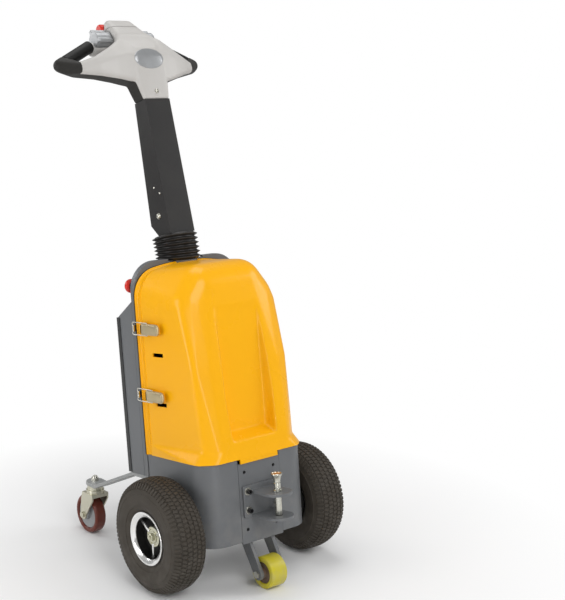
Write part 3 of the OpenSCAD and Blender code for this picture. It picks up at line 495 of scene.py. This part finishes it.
# Rows of outward step and depth
CHANNEL = ((0.0003, 0.0895), (-0.0004, 0.0925), (-0.0022, 0.0950), (-0.0030, 0.0980), (-0.0030, 0.1030),
           (-0.0022, 0.1055), (0.0004, 0.1072), (0.0020, 0.1080), (0.0025, 0.1088), (0.0022, 0.1096),
           (0.0010, 0.1099), (-0.0020, 0.1099))
SEAL_AND_GAP_SHADE = ((-0.0006, 0.1095), (0.0030, 0.1100), (0.0034, 0.1110), (0.0030, 0.1119))
NOTCH_RADIUS, NOTCH_HEIGHT, NOTCH_Y, NOTCH_LOW = 0.0383, 0.1, 0.129, 0.557


def notched(strip, thickness):
    """A strip of the rim made solid, with a round notch at the top for the pivot housing."""
    notch = turned(((0.0, 0.0), (NOTCH_RADIUS, 0.0), (NOTCH_RADIUS, NOTCH_HEIGHT), (0.0, NOTCH_HEIGHT)), 64)
    solid = worked(strip, ("SOLIDIFY", {"thickness": thickness, "offset": -1.0}))
    return cut_by(solid, placed(notch, Matrix.Translation((0.0, NOTCH_Y, NOTCH_LOW))), solver="MANIFOLD")


rim = notched(arch_strip(CHANNEL), thickness=0.0026)
# A black seal strip on the frame's face; its black also stands in for the shadow in the gap between cover
# and frame, as painted shade
seal_and_gap_shade = notched(arch_strip(SEAL_AND_GAP_SHADE), thickness=0.0030)
seal_and_gap_shade_black = finish("seal_and_gap_shade_black", (0.010, 0.009, 0.008), (0.018, 0.016, 0.014), 0.70,
                     Specular_IOR_Level=0.15)
settle(placed(seal_and_gap_shade, BODY), "cover_seal_and_gap_shade", seal_and_gap_shade_black, "chassis")
LATCH_Z, LATCH_Y = (0.304, 0.460), 0.051
PAD_ROOT, PAD_X, PAD_HALF, PAD_RISE = 0.138, 0.157, 0.021, 0.011
pads = [worked(bar(LATCH_Y, pad_z, PAD_HALF, PAD_RISE, *sorted((side * PAD_ROOT, side * PAD_X))),
               ("BEVEL", {"width": 0.002, "segments": 3, "limit_method": "ANGLE"}))
        for pad_z in LATCH_Z for side in (-1.0, 1.0)]
cover_gloss = finish("yellow_cover_gloss", (0.90, 0.43, 0.004), (0.87, 0.38, 0.004), 0.28, amount=0.35,
                     scale=4.0, swing=0.08, peel_depth=0.10, peel_scale=190.0, Specular_IOR_Level=0.20,
                     Coat_Weight=0.12, Coat_Roughness=0.14)
settle(placed(gathered([shell, rim] + pads), BODY), "cover_shell", cover_gloss, "chassis",
       ("cover",), 40.0)


# Toggle latches: pressed levers in yellow zinc on pads of the cover. A wire bail runs along each lever's
# edges and catches behind a hook on the frame.
LEVER_HALF, LEVER_RISE, LEVER_DEPTH = 0.034, 0.013, 0.0045


def lever():
    """A latch lever lying in Y and Z: round front end, rolled edge, raised pan."""
    shape = bmesh.new()
    outline = ((-LEVER_HALF, -LEVER_RISE), (LEVER_HALF, -LEVER_RISE), (LEVER_HALF, LEVER_RISE),
               (-LEVER_HALF, LEVER_RISE))
    shape.faces.new([shape.verts.new((0.0, y, z)) for y, z in outline])
    for front, offset, segments in ((True, 0.0110, 7), (False, 0.0030, 3)):
        corners = [vert for vert in shape.verts if (vert.co.y < 0.0) == front]
        bmesh.ops.bevel(shape, geom=corners, affect="VERTICES", offset=offset, segments=segments,
                        profile=0.5, material=-1)
    grown = bmesh.ops.extrude_face_region(shape, geom=shape.faces[:])
    bmesh.ops.translate(shape, vec=(LEVER_DEPTH, 0.0, 0.0),
                        verts=[item for item in grown["geom"] if isinstance(item, bmesh.types.BMVert)])
    bmesh.ops.recalc_face_normals(shape, faces=shape.faces)
    for thickness, depth in ((0.0022, 0.0), (0.0012, 0.0024)):
        top = max(shape.faces, key=lambda face: face.calc_center_median().x + face.calc_area())
        bmesh.ops.inset_region(shape, faces=[top], thickness=thickness, depth=depth, use_even_offset=True)
    ridge = [edge for edge in shape.edges if edge.is_manifold and edge.calc_face_angle() > radians(40.0)]
    bmesh.ops.bevel(shape, geom=ridge, affect="EDGES", offset=0.0006, segments=2, profile=0.5, material=-1)
    return shape


def wire(points, radius, bend, steps=6):
    """A bent wire through some points, each corner turned on a small radius."""
    path = [Vector(points[0])]
    for before, corner, after in zip(points, points[1:], points[2:]):
        corner = Vector(corner)
        start = corner + (Vector(before) - corner).normalized() * bend
        end = corner + (Vector(after) - corner).normalized() * bend
        for step in range(steps + 1):
            share = step / steps
            path.append(start * (1 - share) ** 2 + corner * 2 * share * (1 - share) + end * share ** 2)
    path.append(Vector(points[-1]))
    curve = bpy.data.curves.new("wire", "CURVE")
    curve.dimensions = "3D"
    curve.bevel_depth = radius
    curve.bevel_resolution = 2
    curve.use_fill_caps = True
    spline = curve.splines.new("POLY")
    spline.points.add(len(path) - 1)
    for point, place in zip(spline.points, path):
        point.co = (*place, 1.0)
    holder = bpy.data.objects.new("wire", curve)
    bpy.context.scene.collection.objects.link(holder)
    bpy.context.view_layer.update()
    drawn = holder.evaluated_get(bpy.context.evaluated_depsgraph_get())
    shape = bmesh.new()
    shape.from_mesh(drawn.to_mesh())
    drawn.to_mesh_clear()
    bpy.data.objects.remove(holder)
    bpy.data.curves.remove(curve)
    bmesh.ops.remove_doubles(shape, verts=shape.verts, dist=1e-6)
    bmesh.ops.recalc_face_normals(shape, faces=shape.faces)
    return shape


BAIL_X, BAIL_Z, BAIL_TIP, BAIL_START, BAIL_END = 0.1605, 0.0145, 0.011, 0.061, 0.1199
BAIL_LINE = ((BAIL_START, BAIL_TIP), (BAIL_START, BAIL_Z), (BAIL_END, BAIL_Z), (BAIL_END, -BAIL_Z),
             (BAIL_START, -BAIL_Z), (BAIL_START, -BAIL_TIP))
levers, bails = [], []
for latch_z in LATCH_Z:
    for side in (-1.0, 1.0):
        flip = BODY @ Matrix.Diagonal((side, 1.0, 1.0, 1.0))
        levers.append(placed(lever(), flip @ Matrix.Translation((PAD_X, LATCH_Y, latch_z))))
        route = [(BAIL_X, y, latch_z + rise) for y, rise in BAIL_LINE]
        bails.append(placed(wire(route, radius=0.00125, bend=0.003), flip))
latch_zinc = finish("yellow_zinc", (0.50, 0.42, 0.26), (0.38, 0.31, 0.19), 0.36, Metallic=0.75)
settle(gathered(levers), "latch_lever_set", latch_zinc, "chassis", ("latch_levers",), 30.0)
settle(gathered(bails), "latch_bail_set", plate_zinc, "chassis", ("latch_bails",), 60.0)
dressed("latch_hooks", plate_zinc, 0.0012)


# Emergency stop: a red moulded mushroom button on a black collar. It is screwed to the back of the
# column frame, on the left, where a hand at the tiller finds it.
black_plastic = finish("black_plastic", (0.022, 0.021, 0.019), (0.034, 0.032, 0.029), 0.50, peel_depth=0.35,
                       peel_scale=1400.0, Specular_IOR_Level=0.22)
red_plastic = finish("red_plastic", (0.64, 0.030, 0.018), (0.52, 0.022, 0.014), 0.30, peel_depth=0.05,
                     Specular_IOR_Level=0.35)
dressed("estop_base", black_plastic, 0.001)
dressed("estop_button", red_plastic, 0.003, 3)


# Hitch: a welded bracket in the housing's grey, held by four black socket screws on bright washers.
# A turned steel pin with a flared head and a brass cap drops through both ears.
dressed("hitch_bracket", grey_coat, 0.0014, 3)
dressed("hitch_screws", screw_black, 0.0005)
HITCH_FACE, HITCH_SCREW_X, HITCH_SCREW_ROWS, PIN_Y = -0.118, 0.042, (0.040, 0.084), -0.173
WASHER = ((0.0056, 0.0), (0.0056, 0.0024), (0.0084, 0.0024), (0.0090, 0.0018), (0.0090, 0.0))
washers = [placed(turned(WASHER, 40, True), BODY @ Matrix.Translation((x, HITCH_FACE, z))
                  @ Matrix.Rotation(radians(90.0), 4, "X"))
           for x in (-HITCH_SCREW_X, HITCH_SCREW_X) for z in HITCH_SCREW_ROWS]
settle(gathered(washers), "hitch_washers", plate_zinc, "chassis")
PIN = ((0.0, 0.019), (0.0040, 0.019), (0.0052, 0.0200), (0.0078, 0.0345), (0.0080, 0.0360),
       (0.0080, 0.0850), (0.0099, 0.0850), (0.0105, 0.0856), (0.0105, 0.0894), (0.0099, 0.0900),
       (0.0080, 0.0900), (0.0080, 0.1040), (0.0073, 0.1048), (0.0073, 0.1066), (0.0080, 0.1074),
       (0.0081, 0.1100), (0.0087, 0.1136), (0.0101, 0.1180), (0.0120, 0.1222), (0.0128, 0.1238),
       (0.0130, 0.1250), (0.0127, 0.1263), (0.0119, 0.1268), (0.0109, 0.1266), (0.0104, 0.1256),
       (0.0, 0.1252))
pin_bright = finish("turned_pin", (0.60, 0.60, 0.54), (0.48, 0.45, 0.36), 0.26, amount=0.5, scale=60.0,
                    Metallic=1.0)
PIN_PLACE = BODY @ Matrix.Translation((0.0, PIN_Y, 0.0))
settle(placed(turned(PIN, 56), PIN_PLACE), "drop_pin", pin_bright, "hitch_pin",
       ("hitch_pin",), 28.0)
brass = finish("brass_cap", (0.66, 0.40, 0.20), (0.50, 0.30, 0.15), 0.32, Metallic=0.9)
CAP = ((0.0, 0.1249), (0.0100, 0.1249), (0.0103, 0.1253), (0.0101, 0.1259), (0.0088, 0.1261),
       (0.0080, 0.1255), (0.0, 0.1254))
settle(placed(turned(CAP, 48), PIN_PLACE), "drop_pin_cap", brass, "hitch_pin")


# Front roller: a lime polyurethane tread cast on a brown core. It runs on a plated axle between two steel
# fork plates that are welded under the housing.
lime_tread = finish("lime_polyurethane", (0.58, 0.50, 0.012), (0.46, 0.39, 0.02), 0.36, peel_depth=0.10,
                    dusty=0.30)
brown_core = finish("brown_core", (0.12, 0.072, 0.042), (0.07, 0.045, 0.03), 0.5, peel_depth=0.2, dusty=0.3)
dressed("fork_arms", grey_coat, 0.0012, 3)
dressed("roller_tread", lime_tread, 0.0006)
dressed("roller_core", brown_core, 0.001)
dressed("roller_axle", plate_zinc, 0.0008)


# Casters: bent flat bars in the housing's grey carry pressed forks in yellowed zinc; their grey is set paler
# as painted top light. A maroon tread is cast on each grey core, and a domed nut closes each kingpin.
# The arms' grey is the housing's paint made paler here, as painted light falling on their flat tops
arm_grey_painted_top_light = finish("grey_coat_painted_top_light", (0.31, 0.32, 0.32), (0.24, 0.25, 0.25), 0.40, peel_depth=0.2,
                  peel_scale=700.0, dusty=0.35)
fork_zinc = finish("yellowed_zinc", (0.60, 0.58, 0.47), (0.44, 0.41, 0.29), 0.34, Metallic=0.9)
maroon_tread = finish("maroon_polyurethane", (0.130, 0.022, 0.011), (0.090, 0.019, 0.011), 0.30, dusty=0.10,
                      Specular_IOR_Level=0.30)
grey_core = finish("grey_core", (0.28, 0.29, 0.30), (0.20, 0.20, 0.20), 0.45, peel_depth=0.2, dusty=0.3)
for side in ("left", "right"):
    dressed("caster_arm_" + side, arm_grey_painted_top_light, 0.0022, 3, 15.0)
    dressed("caster_fork_" + side, fork_zinc, 0.0014, 3)
    dressed("caster_tread_" + side, maroon_tread, 0.0)
    dressed("caster_core_" + side, grey_core, 0.001)
dressed("kingpins", plate_zinc, 0.0008)


# Drive wheels: air-filled block-tread tyres on split rims. A polished ring with three spokes sits over a
# black dish; the tread is five rows of small slanted blocks between two rows of shoulder lugs.
SECTION = ((0.0290, 0.0600), (0.0345, 0.0618), (0.0372, 0.0655), (0.0386, 0.0672), (0.0398, 0.0692),
           (0.0420, 0.0756), (0.0430, 0.0760), (0.0434, 0.0774), (0.0430, 0.0788), (0.0446, 0.0880),
           (0.0449, 0.0960), (0.0444, 0.1025), (0.0449, 0.1029), (0.0447, 0.1045), (0.0438, 0.1050),
           (0.0420, 0.1120), (0.0384, 0.1183), (0.0330, 0.1235), (0.0255, 0.1276), (0.0150, 0.1304),
           (0.0, 0.1313))
# A row of blocks: place across, radius, tilt, width, length, stagger in pitches, slant
ROWS = ((0.0, 0.1310, 0.0, 0.0104, 0.0079, 0.0, 12.0), (0.0126, 0.1304, 7.0, 0.0106, 0.0079, 0.5, -14.0),
        (0.0243, 0.1277, 20.0, 0.0104, 0.0079, 0.0, 14.0),
        (0.0362, 0.1197, 52.0, 0.0150, 0.0064, 0.5, -4.0))
PITCHES, BLOCK_HEIGHT, BLOCK_EDGE = 78, 0.0046, 0.0009


def tyre():
    """A tyre about X: a spun carcass, and tread blocks carried round it."""
    line = list(SECTION) + [(-x, radius) for x, radius in reversed(SECTION[:-1])]
    carcass = placed(turned([(radius, x) for x, radius in line], 96),
                     Matrix.Rotation(radians(90.0), 4, "Y"))
    blocks = bmesh.new()
    for x, radius, tilt, width, length, stagger, slant in ROWS:
        for side in ((1.0,) if x == 0.0 else (-1.0, 1.0)):
            place = (Matrix.Rotation(tau * stagger / PITCHES, 4, "X")
                     @ Matrix.Translation((side * x, 0.0, radius))
                     @ Matrix.Rotation(radians(side * tilt), 4, "Y")
                     @ Matrix.Rotation(radians(side * slant), 4, "Z"))
            made = bmesh.ops.create_cube(blocks, size=1.0,
                                         matrix=place @ Matrix.Diagonal((width, length, BLOCK_HEIGHT, 1.0)))
            fresh = set(made["verts"])
            crown = [edge for edge in blocks.edges if edge.verts[0] in fresh
                     and all((place.inverted() @ vert.co).z > 0.0 for vert in edge.verts)]
            bmesh.ops.bevel(blocks, geom=crown, affect="EDGES", offset=BLOCK_EDGE, segments=1, profile=0.5,
                            material=-1)
    bmesh.ops.spin(blocks, geom=blocks.verts[:] + blocks.edges[:] + blocks.faces[:], cent=(0.0, 0.0, 0.0),
                   axis=(1.0, 0.0, 0.0), angle=tau * (PITCHES - 1) / PITCHES, steps=PITCHES - 1,
                   use_duplicate=True)
    bmesh.ops.recalc_face_normals(blocks, faces=blocks.faces)
    return gathered([carcass, blocks])


tyre_rubber = finish("tyre_rubber", (0.044, 0.037, 0.029), (0.056, 0.046, 0.035), 0.60, amount=0.4,
                     scale=26.0, peel_depth=0.3, peel_scale=1100.0, dusty=0.10, Specular_IOR_Level=0.25)
bright_alloy = finish("polished_alloy", (0.88, 0.88, 0.87), (0.76, 0.75, 0.73), 0.18, amount=0.3,
                      Metallic=0.85)
dish_black = finish("black_dish", (0.006, 0.006, 0.006), (0.014, 0.013, 0.012), 0.42, dusty=0.04,
                    Specular_IOR_Level=0.2)
hub_zinc = finish("hub_zinc", (0.66, 0.65, 0.52), (0.50, 0.48, 0.34), 0.34, amount=0.6, scale=70.0,
                  Metallic=0.9)
# Rim profiles are given as radius and reach outward from the wheel's middle
LIP = ((0.0575, 0.0318), (0.0602, 0.0330), (0.0618, 0.0356), (0.0622, 0.0382), (0.0615, 0.0397),
       (0.0600, 0.0402), (0.0582, 0.0397), (0.0540, 0.0378), (0.0505, 0.0354), (0.0488, 0.0338),
       (0.0488, 0.0318))
BARREL = ((0.0490, 0.0322), (0.0490, 0.0110), (0.0470, 0.0070), (0.0300, -0.0030), (0.0150, -0.0045),
          (0.0150, -0.0085), (0.0300, -0.0070), (0.0530, 0.0040), (0.0560, 0.0100), (0.0570, 0.0322))
BACK = ((0.0560, -0.0300), (0.0602, -0.0330), (0.0622, -0.0382), (0.0600, -0.0402), (0.0540, -0.0378),
        (0.0490, -0.0338), (0.0490, 0.0), (0.0530, 0.0))
HUB = ((0.0, 0.0212), (0.0090, 0.0212), (0.0130, 0.0212), (0.0136, 0.0206), (0.0138, 0.0186),
       (0.0176, 0.0180), (0.0182, 0.0198), (0.0212, 0.0202), (0.0230, 0.0196), (0.0236, 0.0180),
       (0.0236, 0.0100), (0.0170, 0.0090), (0.0125, 0.0080), (0.0125, -0.1000), (0.0, -0.1000))
NUT = ((0.0, 0.0286), (0.0085, 0.0286), (0.0098, 0.0276), (0.0098, 0.0208), (0.0, 0.0208))
TIP = ((0.0, 0.0318), (0.0042, 0.0318), (0.0050, 0.0310), (0.0050, 0.0280), (0.0, 0.0280))
SPOKES, SPOKE_WIDTH, SPOKE_LENGTH, SPOKE_DEPTH, SPOKE_EDGE = 3, 0.0070, 0.0350, 0.0060, 0.0014
SPOKE_REACH, SPOKE_OUT = 0.0340, 0.0180


def spoke(turn):
    """A rim spoke from the hub to the barrel, turned about the axle, which lies along Z here."""
    shape = bmesh.new()
    bmesh.ops.create_cube(shape, size=1.0, matrix=Matrix.Translation((0.0, SPOKE_REACH, SPOKE_OUT))
                          @ Matrix.Diagonal((SPOKE_WIDTH, SPOKE_LENGTH, SPOKE_DEPTH, 1.0)))
    bmesh.ops.bevel(shape, geom=shape.edges[:], affect="EDGES", offset=SPOKE_EDGE, segments=2, profile=0.5,
                    material=-1)
    return placed(shape, Matrix.Rotation(turn, 4, "Z"))


for side, hand in (("left", -1.0), ("right", 1.0)):
    low, high = (Vector(corner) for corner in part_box("tyre_" + side))
    centre = Matrix.Translation((low + high) / 2)
    outward = centre @ Matrix.Rotation(radians(hand * 90.0), 4, "Y")
    body = "drive_wheel_" + side
    settle(placed(tyre(), centre), "block_tyre_" + side, tyre_rubber, body, ("tyre_" + side,), 40.0)
    ring = [turned(LIP, 96, True)] + [spoke(tau * (number / SPOKES + 0.25)) for number in range(SPOKES)]
    settle(placed(gathered(ring), outward), "rim_ring_" + side, bright_alloy, body,
           ("rim_" + side,))
    dish = gathered([turned(BARREL, 96, True), turned(BACK, 96, True)])
    settle(placed(dish, outward), "rim_dish_" + side, dish_black, body, ("dish_" + side,))
    boss = gathered([turned(HUB, 64), turned(NUT, 6), turned(TIP, 32)])
    settle(placed(boss, outward), "wheel_hub_" + side, hub_zinc, body, ("hub_" + side,), 30.0)


# Bellows: a moulded rubber boot with six folds. It stands on the frame and is clamped under the foot of the
# tiller.
PIVOT_Y, PIVOT_Z, TILT = 0.05174, 0.706098, -17.0
TILLER = Matrix.Translation((0.0, PIVOT_Y, PIVOT_Z)) @ Matrix.Rotation(radians(TILT), 4, "X")
FOLDS, BOOT_BACK, BOOT_LOW, BOOT_TOP, BOOT_BEND = 6, 0.008, 0.01705, 0.0757, radians(10.5)
BOOT_RADIUS, BOOT_MOUTH, BOOT_WALL = 0.0470, 0.0435, 0.0022
# One fold is given by radius and share of its height
FOLD = ((0.0472, 0.06), (0.0535, 0.40), (0.0548, 0.46), (0.0550, 0.50), (0.0548, 0.54), (0.0535, 0.60),
        (0.0472, 0.94))
boot_height = BOOT_TOP - BOOT_LOW
fold = boot_height / FOLDS
boot_line = [(BOOT_RADIUS, 0.0)]
for ridge in range(FOLDS):
    boot_line += [(radius, ridge * fold + share * fold) for radius, share in FOLD]
boot_line += [(BOOT_RADIUS, boot_height), (BOOT_MOUTH, boot_height)]
boot = turned(boot_line, 72)
for height in sorted({round(vert.co.z, 6) for vert in boot.verts}):
    ring = [vert for vert in boot.verts if abs(vert.co.z - height) < 2e-6]
    lean = Matrix.Rotation(BOOT_BEND * (1.0 - height / boot_height), 3, "X")
    bmesh.ops.rotate(boot, cent=(0.0, 0.0, height), matrix=lean, verts=ring)
boot = worked(boot, ("SOLIDIFY", {"thickness": BOOT_WALL, "offset": -1.0}))
boot_rubber = finish("boot_rubber", (0.016, 0.015, 0.014), (0.030, 0.028, 0.026), 0.40, peel_depth=0.2)
boot_place = TILLER @ Matrix.Translation((0.0, BOOT_BACK, BOOT_LOW))
boot_piece = settle(placed(boot, boot_place), "bellows_boot", boot_rubber, None,
                    ("bellows",), 50.0)
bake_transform(boot_piece)


# Tiller arm: a tapered box section in welded steel with a black powder coat. Two rivets and a bolt on
# each side hold it to the shank inside its foot.
arm_black = finish("black_powder_coat", (0.020, 0.019, 0.019), (0.029, 0.028, 0.026), 0.46, peel_depth=0.3,
                   peel_scale=700.0, Specular_IOR_Level=0.28)
dressed("tiller_arm", arm_black, 0.0045, 4)
RIVET = ((0.0, 0.0014), (0.0014, 0.0012), (0.0023, 0.0005), (0.0026, -0.0006), (0.0, -0.0006))
BOLT = ((0.0, 0.0046), (0.0030, 0.0044), (0.0050, 0.0034), (0.0060, 0.0018), (0.0062, 0.0010),
        (0.0074, 0.0010), (0.0077, 0.0004), (0.0077, -0.0008), (0.0, -0.0008))
ARM_HALF = 0.0355
STUDS = ((RIVET, 0.0062, 0.1921), (RIVET, -0.0128, 0.1748), (BOLT, 0.0080, 0.1235))
studs = []
for profile, back, height in STUDS:
    for side in (-1.0, 1.0):
        spot = TILLER @ Matrix.Translation((side * ARM_HALF, back, height))
        studs.append(placed(turned(profile, 28), spot @ Matrix.Rotation(radians(side * 90.0), 4, "Y")))
settle(gathered(studs), "arm_studs", plate_zinc, "tiller")


# Tiller head: one soft moulded form in two shells. The black one takes the arm and the loop's corners;
# the white one closes it from the front, with a blank silver disc and one screw.
whole_head = bmesh.new()
for name in ("head_base", "head_cover"):
    whole_head.from_mesh(nodes[name].data)
bmesh.ops.remove_doubles(whole_head, verts=whole_head.verts, dist=WELD)
bmesh.ops.transform(whole_head, matrix=TILLER.inverted(), verts=whole_head.verts)
soft_head = softened(whole_head, voxel=0.0021, passes=22, keep=0.42)
# The white shell's zone: in front of the parting line, and above a stepped line on the block
NECK, WING_END, HEAD_FRONT, HEAD_REAR, HEAD_TOP, ZONE_HEIGHT = 0.400, 0.160, -0.080, 0.140, 0.260, 0.142
LAP = 0.002
PARTING = ((WING_END, 0.042), (0.119, 0.015), (0.081, -0.003), (0.054, -0.010), (0.036, -0.017))
STEPPED = ((HEAD_FRONT, 0.098), (-0.012, 0.098), (0.030, 0.122), (HEAD_REAR, 0.122), (HEAD_REAR, HEAD_TOP),
           (HEAD_FRONT, HEAD_TOP))
front_line = [(-WING_END, HEAD_FRONT), (WING_END, HEAD_FRONT)] + list(PARTING)
front_line += [(-x, back) for x, back in reversed(PARTING)]
front_zone = slab([(x, back, NECK - LAP) for x, back in front_line], (0.0, 0.0, 1.0), ZONE_HEIGHT)
top_zone = slab([(-WING_END, back, NECK + rise) for back, rise in STEPPED], (1.0, 0.0, 0.0), 2 * WING_END)
white_zone = cut_by(front_zone, top_zone, "UNION")
white_zone_again = white_zone.copy()
# A fine seam runs round the block below its cap
SEAM_LOW, SEAM_WIDTH, SEAM_DEPTH, SEAM_REACH, SEAM_FRONT, SEAM_REAR = 0.5994, 0.0016, 0.0014, 0.1, -0.03, 0.2
SEAM = ((-SEAM_REACH, SEAM_FRONT), (SEAM_REACH, SEAM_FRONT), (SEAM_REACH, SEAM_REAR),
        (-SEAM_REACH, SEAM_REAR))
core = worked(soft_head.copy(), ("DISPLACE", {"strength": -SEAM_DEPTH, "mid_level": 0.0}))
seam = cut_by(slab([(x, back, SEAM_LOW) for x, back in SEAM], (0.0, 0.0, 1.0), SEAM_WIDTH), core)
white_head = cut_by(cut_by(soft_head.copy(), white_zone, "INTERSECT"), seam)
face = BVHTree.FromBMesh(soft_head)
black_head = cut_by(soft_head, white_zone_again)
white_shell = finish("white_moulding", (0.50, 0.485, 0.465), (0.45, 0.43, 0.405), 0.42, amount=0.4,
                     peel_depth=0.15, peel_scale=1200.0)
settle(placed(black_head, TILLER), "head_lower_shell", black_plastic, "tiller",
       ("head_base",), 38.0)
settle(placed(white_head, TILLER), "head_upper_shell", white_shell, "tiller",
       ("head_cover",), 38.0)
# The badge is a flat disc that is laid on the face from the front, with its edge sunk in
BADGE_HEIGHT, BADGE_HALF_WIDTH, BADGE_HALF_RISE = 0.499, 0.042, 0.0255
BADGE_LIFT, BADGE_SINK = 0.0012, -0.0004
badge = turned([(share, 0.0) for share in (0.0, 0.25, 0.5, 0.75, 0.94, 1.0)], 56)
for vert in badge.verts:
    lift = BADGE_LIFT if vert.co.length < 0.97 else BADGE_SINK
    start = Vector((vert.co.x * BADGE_HALF_WIDTH, -0.2, BADGE_HEIGHT + vert.co.y * BADGE_HALF_RISE))
    spot, normal = face.ray_cast(start, Vector((0.0, 1.0, 0.0)))[:2]
    vert.co = spot + normal * lift
bmesh.ops.recalc_face_normals(badge, faces=badge.faces)
badge = worked(badge, ("SOLIDIFY", {"thickness": 0.0020, "offset": -1.0}))
badge_silver = finish("badge_silver", (0.36, 0.37, 0.38), (0.29, 0.295, 0.30), 0.36, scale=40.0,
                      Metallic=0.6)
settle(placed(badge, TILLER), "head_badge", badge_silver, "tiller")
HEAD_SCREW_PLACE = TILLER @ Matrix.Translation((0.003, -0.0234, 0.4185)) @ Matrix.Rotation(radians(90.0), 4,
                                                                                           "X")
settle(placed(turned(PAN_HEAD, 24), HEAD_SCREW_PLACE), "head_screw", plate_zinc, "tiller")

# Grips, throttle and button: rubber sleeves on the loop, silver thumb paddles on both flanks of the block,
# and a red reversing button across its rear end.
grip_rubber = finish("grip_rubber", (0.010, 0.010, 0.0095), (0.018, 0.018, 0.017), 0.48, peel_depth=0.3,
                     peel_scale=1600.0, Specular_IOR_Level=0.22)
for side in ("left", "right"):
    dressed("grip_" + side, grip_rubber, 0.003, 3)
throttle_silver = finish("silver_lacquer", (0.42, 0.43, 0.44), (0.34, 0.345, 0.35), 0.34, Metallic=0.35)
paddles = bmesh.new()
paddles.from_mesh(nodes["throttle"].data)
bmesh.ops.remove_doubles(paddles, verts=paddles.verts, dist=WELD)
paddles = softened(paddles, voxel=0.0014, passes=14, keep=0.5)
settle(paddles, "throttle_paddles", throttle_silver, "tiller", ("throttle",), 60.0)
dressed("belly_button", red_plastic, 0.005, 4)


# Studio: a pale floor that runs out to white and keeps only the soft shadow under the machine. Soft lamps
# stand in front, above, behind and at both sides, and the camera stands where the photographer's stood.
floor_shape = bmesh.new()
bmesh.ops.create_circle(floor_shape, cap_ends=True, radius=9.0, segments=96)
floor_mesh = bpy.data.meshes.new("studio_floor")
floor_shape.to_mesh(floor_mesh)
floor_shape.free()
floor = bpy.data.objects.new("studio_floor", floor_mesh)
bpy.context.scene.collection.objects.link(floor)
floor_paint = bpy.data.materials.new("studio_floor")
floor_paint.use_nodes = True
floor_tree = floor_paint.node_tree
floor_matt = floor_tree.nodes["Principled BSDF"]
floor_matt.inputs["Base Color"].default_value = (0.86, 0.86, 0.86, 1.0)
floor_matt.inputs["Roughness"].default_value = 0.9
floor_matt.inputs["Specular IOR Level"].default_value = 0.1
floor_white = floor_tree.nodes.new("ShaderNodeEmission")
floor_place = floor_tree.nodes.new("ShaderNodeTexCoord").outputs["Object"]
floor_far = floor_tree.nodes.new("ShaderNodeVectorMath")
floor_far.operation = "LENGTH"
floor_tree.links.new(floor_place, floor_far.inputs[0])
floor_blend = floor_tree.nodes.new("ShaderNodeMixShader")
floor_ray = floor_tree.nodes.new("ShaderNodeLightPath")
FADE_START, FADE_END = 0.35, 1.0
floor_fade = ranged(floor_tree, floor_far.outputs["Value"], FADE_START, FADE_END)
floor_mask = maths(floor_tree, "MULTIPLY", floor_fade, floor_ray.outputs["Is Camera Ray"])
floor_tree.links.new(floor_mask, floor_blend.inputs["Fac"])
floor_tree.links.new(floor_matt.outputs["BSDF"], floor_blend.inputs[1])
floor_tree.links.new(floor_white.outputs["Emission"], floor_blend.inputs[2])
floor_tree.links.new(floor_blend.outputs["Shader"], floor_tree.nodes["Material Output"].inputs["Surface"])
floor_mesh.materials.append(floor_paint)

world = bpy.data.worlds.new("studio")
bpy.context.scene.world = world
world.use_nodes = True
sky = world.node_tree
sky_fill = sky.nodes["Background"]
sky_fill.inputs["Color"].default_value = (1.0, 1.0, 1.0, 1.0)
sky_fill.inputs["Strength"].default_value = 0.33
sky_seen = sky.nodes.new("ShaderNodeBackground")
sky_seen.inputs["Color"].default_value = (1.0, 1.0, 1.0, 1.0)
sky_mix = sky.nodes.new("ShaderNodeMixShader")
sky_ray = sky.nodes.new("ShaderNodeLightPath")
sky.links.new(sky_ray.outputs["Is Camera Ray"], sky_mix.inputs["Fac"])
sky.links.new(sky_fill.outputs["Background"], sky_mix.inputs[1])
sky.links.new(sky_seen.outputs["Background"], sky_mix.inputs[2])
sky.links.new(sky_mix.outputs["Shader"], sky.nodes["World Output"].inputs["Surface"])

LAMP_AIM, CAMERA_AIM = Vector((0.0, -0.05, 0.55)), Vector((0.0, -0.0833, 0.560))
LAMPS = (("key", (-0.5, -2.6, 2.5), 1.5, 1.5, 35.0), ("side", (2.2, -1.2, 1.6), 1.3, 1.3, 20.0),
         ("top", (0.3, 0.4, 3.0), 1.7, 1.7, 22.0), ("rear", (-1.2, 2.4, 1.8), 1.3, 1.3, 15.0),
         ("left", (-2.4, 0.3, 0.9), 0.8, 1.5, 20.0), ("front_strip", (-0.95, -2.29, 0.65), 0.25, 1.5, 10.0))
for name, place, width, height, watts in LAMPS:
    lamp = bpy.data.lights.new("lamp_" + name, "AREA")
    lamp.shape = "RECTANGLE"
    lamp.size = width
    lamp.size_y = height
    lamp.energy = watts
    lamp_object = bpy.data.objects.new("lamp_" + name, lamp)
    lamp_object.location = place
    lamp_object.rotation_euler = (LAMP_AIM - Vector(place)).to_track_quat("-Z", "Y").to_euler()
    bpy.context.scene.collection.objects.link(lamp_object)

camera = bpy.data.cameras.new("photo_camera")
camera.sensor_fit = "VERTICAL"
camera.sensor_height = 36.0
camera.lens = 71.38
camera.shift_x = 0.1098
camera.shift_y = 0.0572
camera_object = bpy.data.objects.new("photo_camera", camera)
camera_object.location = (-1.6714, -2.2168, 1.1695)
camera_object.rotation_euler = (CAMERA_AIM - camera_object.location).to_track_quat("-Z", "Y").to_euler()
bpy.context.scene.collection.objects.link(camera_object)
bpy.context.scene.camera = camera_object
bpy.context.scene.view_settings.view_transform = "Standard"

bpy.context.view_layer.update()
